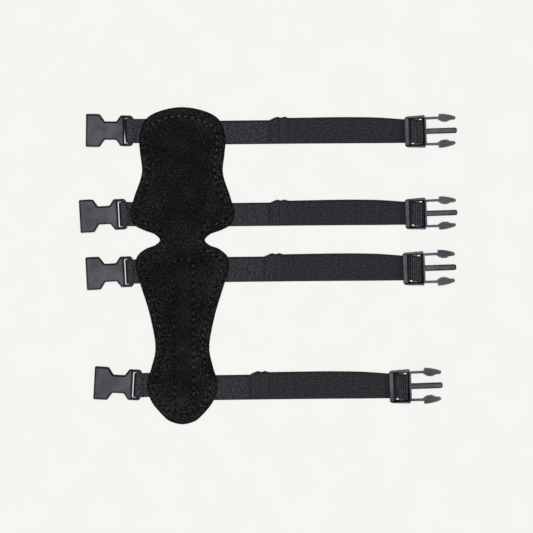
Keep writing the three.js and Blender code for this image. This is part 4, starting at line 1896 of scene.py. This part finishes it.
class Buckle:
    """One half of a side release buckle: a moulded solid that is made once and set on each strap."""

    finish: Finish = ACETAL
    crease: float = 40.0
    # How far a rim leans where its painted shade sets in and where it is full.
    rim_lean: Point
    # How dark the rims are painted as shade, and how much darker or paler that is where they face up or down
    # the arm.
    rim_level: float
    rim_turn: float
    # Faces under this height are painted dark, as shade.
    painted_shade_below: float

    def model(self) -> bmesh.types.BMesh:
        """Models the half at its own origin."""
        raise NotImplementedError

    def set_on(
        self,
        solid: bmesh.types.BMesh,
        name: str,
        node: str,
        spot: Point,
        turn: float,
        hold: float = 0.0,
        size: Point = (1.0, 1.0),
    ) -> None:
        """Sets a copy of the half on its strap.

        Args:
            solid: the modelled half, which is kept.
            name: the piece's name.
            node: the CAD node that it stands for.
            spot: where the webbing holds it, in plan.
            turn: how far it lies turned, in degrees.
            hold: where the webbing holds it along its own length.
            size: its length and its width as shares of the modelled ones.
        """
        shape = solid.copy()
        turned = Matrix.Rotation(math.radians(turn), 4, "Z") @ Matrix.Diagonal((*size, 1.0, 1.0))
        move = Matrix.Translation((*spot, 0.0)) @ turned @ Matrix.Translation((-hold, 0.0, 0.0))
        bmesh.ops.transform(shape, matrix=move, verts=shape.verts)
        smooth_faces(shape, self.crease)
        piece = finish_piece(name, shape, self.finish, [node])
        self.paint_rim_shade(piece)
        weighted = piece.modifiers.new("flat faces stay flat", "WEIGHTED_NORMAL")
        weighted.keep_sharp = True
        weighted.weight = 100

    def paint_rim_shade(self, piece: bpy.types.Object) -> None:
        """Paints shade on each face corner that leans off the flat, or lies under the grained faces.

        Args:
            piece: the finished piece.
        """
        mesh = piece.data
        normals = np.array([corner.vector for corner in mesh.corner_normals])
        lean = 1.0 - np.abs(normals[:, 2])
        away = normals[:, 1] / np.maximum(np.linalg.norm(normals[:, :2], axis=1), 1e-3)
        # Painted shade: darker on rims that face +Y than on those that face -Y, and full on the low faces.
        tone_shift = np.clip(self.rim_level + self.rim_turn * away, 0.0, 1.0)
        height = np.array([mesh.vertices[loop.vertex_index].co.z for loop in mesh.loops]) / MM
        rim = mesh.attributes.new("rim", "FLOAT", "CORNER")
        smooth = tone_shift * smoothstep(*self.rim_lean, lean)
        rim.data.foreach_set("value", np.maximum(smooth, height < self.painted_shade_below))


@dataclass
class Socket(Buckle):
    """The socket half, measured from its mouth towards the strap."""

    length: float = 48.9
    height: float = 8.6
    edge: float = 2.4
    wall: float = 1.6
    mouth_half: float = 17.1
    mouth_length: float = 14.5
    mouth_rounds: Point = (1.3, 2.0)
    waist_half: float = 9.52
    waist_start: float = 19.6
    waist_end: float = 31.6
    waist_round: float = 1.5
    flare_end: float = 36.2
    body_end: float = 40.05
    flare_rounds: Point = (1.8, 0.4)
    corner: float = 2.4
    frame_half: float = 15.92
    frame_low: float = 1.0
    frame_high: float = 5.8
    frame_edge: float = 0.9
    frame_end_past: float = 0.8
    frame_rounds: Point = (1.4, 0.8)
    slot_half: float = 13.2
    slot_lap: float = 0.4
    catch: float = 12.6
    channel_end: float = 34.0
    rib_inner: float = 3.6
    rib_outer: float = 5.0
    # How far the tongue's way and the barbs' ways run into the mouth.
    tongue_lap: float = 1.0
    barb_lap: float = 0.1
    painted_shade_below: float = 6.2
    rim_lean: Point = (0.004, 0.08)
    rim_level: float = 0.7
    rim_turn: float = 0.3
    strap_bar: SocketBar = field(default_factory=SocketBar)

    def model(self) -> bmesh.types.BMesh:
        """Models the hollow body that flares at the strap end, the frame arms and the bar for the tab.

        Returns:
            The closed shape.
        """
        body_outline = mirrored([
            (0.0, self.mouth_half, self.mouth_rounds[0]),
            (self.mouth_length, self.mouth_half, self.mouth_rounds[1]),
            (self.waist_start, self.waist_half, self.waist_round),
            (self.waist_end, self.waist_half, self.waist_round),
            (self.flare_end, self.frame_half, self.flare_rounds[0]),
            (self.body_end, self.frame_half, self.flare_rounds[1]),
        ])
        frame_outline = mirrored([
            (self.flare_end, self.frame_half, 0.0),
            (self.length - self.corner, self.frame_half, self.frame_rounds[0]),
            (self.length, self.slot_half + self.frame_end_past, self.frame_rounds[1]),
        ])
        body = slab(body_outline, 0.0, self.height, edge=self.edge, rounds=4)
        frame_block = slab(frame_outline, self.frame_low, self.frame_high, edge=self.frame_edge)
        slot_length = (self.body_end - self.slot_lap, self.length + PAST_FACE)
        slot = box(slot_length, (-self.slot_half, self.slot_half), THROUGH)
        frame_arms = combine(frame_block, [slot], Combining.CUT)
        tab_bar = self.strap_bar
        ends = (tab_bar.centre - tab_bar.half, tab_bar.centre + tab_bar.half)
        rod = bar(*ends, tab_bar.low, tab_bar.high, self.slot_half + BAR_ROOT)
        whole = combine(body, [frame_arms, rod], Combining.JOIN)
        hollow = (self.wall, self.height - self.wall)
        wide = 2.0 * self.mouth_half
        inside = self.mouth_half - self.wall
        barb_way = (self.catch - self.barb_lap, self.waist_end - self.wall)
        tongue_way = (self.catch - self.tongue_lap, self.channel_end)
        ways = [
            box((-PAST_FACE, self.catch), (-inside, inside), hollow),
            box(tongue_way, (-self.rib_inner, self.rib_inner), hollow),
            box(barb_way, (self.rib_outer, wide), hollow),
            box(barb_way, (-wide, -self.rib_outer), hollow),
        ]
        return combine(whole, ways, Combining.CUT)


@dataclass
class Plug(Buckle):
    """The plug half, measured from the free edge of its outer bar towards the barbs."""

    frame_length: float = 22.1
    plate_start: float = 20.4
    plate_half: float = 14.6
    plate_height: float = 8.6
    plate_edge: float = 0.4
    plate_lap: float = 0.5
    outer_half: float = 15.7
    front_half: float = 16.7
    window: Point = (-12.75, 13.2)
    corner: float = 3.0
    front_corner: float = 0.4
    rail_height: float = 5.9
    rail_edge: float = 0.5
    rail_strips: Point = (-14.95, 14.35)
    rail_slope: float = 2.4
    rail_back: float = 1.2
    # A sloped wedge fills the gap behind the front plate, where there is only shade; its lean takes the
    # painted rim shade.
    fillet_start: float = 18.1
    fillet_height: float = 3.2
    # A thin low sheet fills one corner of the frame and, lying under the grained faces, is painted dark as
    # shade.
    web_ends: Point = (2.0, 6.9)
    web_inset: float = 1.0
    web_side: float = -11.0
    web_height: float = 0.9
    outer_rounding: float = 0.25
    tongue_end: float = 54.2
    tongue_half: float = 2.8
    tongue_low: float = 2.1
    tongue_high: float = 5.9
    tongue_round: float = 1.9
    tongue_edge: float = 1.85
    arm_low: float = 2.0
    arm_high: float = 6.6
    arm_edge: float = 0.5
    arm_reach: Point = (-0.3, 0.6)
    ridge_foot: float = 1.2
    ridge_rise: float = 1.0
    ridge_edge: float = 0.8
    # The plugs wear the paler copy of the acetal: painted light.
    finish: Finish = PAINTED_LIGHTER_ACETAL
    painted_shade_below: float = 2.0
    rim_lean: Point = (0.06, 0.3)
    rim_level: float = 0.85
    rim_turn: float = 0.1
    bars: PlugBars = field(default_factory=PlugBars)

    def barbed_arm(self, side: float) -> bmesh.types.BMesh:
        """Models one arm with its barb and the ridge on it.

        Args:
            side: 1 for the arm at +Y and -1 for the other.

        Returns:
            The closed shape.
        """
        arm = slab(ARM_OUTLINE, self.arm_low, self.arm_high, edge=self.arm_edge, rounds=2)
        ridge_levels = (self.arm_high - self.ridge_foot, self.arm_high + self.ridge_rise)
        ridge = slab(BARB_RIDGE, *ridge_levels, edge=self.ridge_edge, rounds=2)
        shape = combine(arm, [ridge], Combining.JOIN)
        reach = self.arm_reach[0 if side < 0 else 1]
        bmesh.ops.translate(shape, vec=(reach, 0.0, 0.0), verts=shape.verts)
        if side < 0:
            bmesh.ops.scale(shape, vec=(1.0, -1.0, 1.0), verts=shape.verts)
            bmesh.ops.recalc_face_normals(shape, faces=shape.faces)
        return shape

    def sloped_window(self) -> bmesh.types.BMesh:
        """Models the room inside the rails, whose sides slope so that only a strip along each rail is level.

        Returns:
            The closed shape to cut out.
        """
        low, high = self.window
        foot, top = THROUGH
        bend = self.rail_height - self.rail_slope
        spread = (top - bend) / self.rail_slope
        section = [
            (low, foot, 0.0),
            (high, foot, 0.0),
            (high, bend, 0.0),
            (high + spread * (self.rail_strips[1] - high), top, 0.0),
            (low + spread * (self.rail_strips[0] - low), top, 0.0),
            (low, bend, 0.0),
        ]
        return lengthwise(section, -PAST_FACE, self.plate_start)

    def model(self) -> bmesh.types.BMesh:
        """Models the frame with its two bars, the front plate, the tongue and the barbed arms.

        Returns:
            The closed shape.
        """
        rail_outline = mirrored([
            (0.0, self.outer_half, self.corner),
            (self.frame_length - self.rail_back, self.front_half, self.front_corner),
        ])
        plate_inside = self.plate_start + self.plate_lap
        tongue_outline = mirrored([
            (plate_inside, self.tongue_half, 0.0),
            (self.tongue_end, self.tongue_half, self.tongue_round),
        ])
        fillet = [
            (self.fillet_start, 0.0, 0.0),
            (plate_inside, 0.0, 0.0),
            (plate_inside, self.fillet_height, 0.0),
        ]
        plate_length, plate_width = (self.plate_start, self.frame_length), (-self.plate_half, self.plate_half)
        web_width = (-self.outer_half + self.web_inset, self.web_side)
        bar_half = self.window[1] + BAR_ROOT
        rails = slab(rail_outline, 0.0, self.rail_height, edge=self.rail_edge)
        frame_rails = combine(rails, [self.sloped_window()], Combining.CUT)
        pieces = [
            box(plate_length, plate_width, (0.0, self.plate_height), edge=self.plate_edge),
            crosspiece(fillet, self.plate_half),
            box(self.web_ends, web_width, (0.0, self.web_height)),
            bar(*self.bars.outer, bar_half, self.outer_rounding),
            bar(*self.bars.inner, bar_half),
            slab(tongue_outline, self.tongue_low, self.tongue_high, edge=self.tongue_edge, rounds=4),
            self.barbed_arm(1.0),
            self.barbed_arm(-1.0),
        ]
        return combine(frame_rails, pieces, Combining.JOIN)


@dataclass
class Studio:
    """A pale floor under one broad overhead light, and a camera that looks straight down."""

    aim: Point = (87.7, -0.9)
    frame_width: float = 555.2
    camera_height: float = 2600.0
    object_level: float = 4.0
    sensor: float = 36.0
    floor_drop: float = 0.2
    # The room's own sizes are in metres, and the light's power in watts.
    floor_half: float = 8.0
    light_height: float = 6.0
    light_size: float = 1.3
    light_power: float = 360.0
    sky: str = "#494a4e"

    def build(self) -> None:
        """Makes the floor, the light, the sky and the camera."""
        self.lay_floor()
        self.light()
        self.set_camera()

    def lay_floor(self) -> None:
        """Lays the floor just under the guard."""
        shape = bmesh.new()
        bmesh.ops.create_grid(shape, x_segments=4, y_segments=4, size=self.floor_half)
        bmesh.ops.translate(shape, vec=(0.0, 0.0, -self.floor_drop * MM), verts=shape.verts)
        mesh = bpy.data.meshes.new("floor")
        shape.to_mesh(mesh)
        shape.free()
        mesh.materials.append(PAPER.material())
        floor = bpy.data.objects.new("floor", mesh)
        bpy.context.scene.collection.objects.link(floor)

    def light(self) -> None:
        """Hangs the overhead light and sets a dimmer sky round it."""
        lamp = bpy.data.lights.new("overhead_softbox", "AREA")
        lamp.shape = "SQUARE"
        lamp.size = self.light_size
        lamp.energy = self.light_power
        softbox = bpy.data.objects.new("overhead_softbox", lamp)
        softbox.location = (self.aim[0] * MM, self.aim[1] * MM, self.light_height)
        bpy.context.scene.collection.objects.link(softbox)
        world = bpy.data.worlds.new("studio")
        world.use_nodes = True
        world.node_tree.nodes["Background"].inputs["Color"].default_value = linear(self.sky)
        bpy.context.scene.world = world
        bpy.context.scene.view_settings.view_transform = "Standard"

    def set_camera(self) -> None:
        """Sets the camera straight above the guard."""
        camera = bpy.data.cameras.new("camera")
        camera.sensor_fit = "HORIZONTAL"
        camera.sensor_width = self.sensor
        camera.lens = self.sensor * (self.camera_height - self.object_level) / self.frame_width
        view = bpy.data.objects.new("camera", camera)
        view.location = (self.aim[0] * MM, self.aim[1] * MM, self.camera_height * MM)
        bpy.context.scene.collection.objects.link(view)
        bpy.context.scene.camera = view


def main() -> None:
    """Builds the guard piece by piece, and the studio that it lies in."""
    logging.basicConfig(level=logging.INFO, format="%(message)s")
    Studio().build()
    panel = SuedePanel(STRAP_PLACES)
    panel.build()
    panel.sew()
    socket, plug = Socket(), Plug()
    socket_solid, plug_solid = socket.model(), plug.model()
    for spot in STRAP_PLACES:
        Strap(spot, panel).build()
        socket.set_on(
            socket_solid,
            f"{spot.name}_socket",
            f"{spot.name}_buckle_socket",
            (spot.bar_x, spot.tab_y),
            spot.tab_turn,
            socket.strap_bar.centre,
        )
        plug.set_on(
            plug_solid,
            f"{spot.name}_plug",
            f"{spot.name}_buckle_plug",
            (spot.plug_x, spot.plug_y),
            spot.plug_turn,
            size=spot.plug_size,
        )
    socket_solid.free()
    plug_solid.free()


if __name__ == "__main__":
    main()
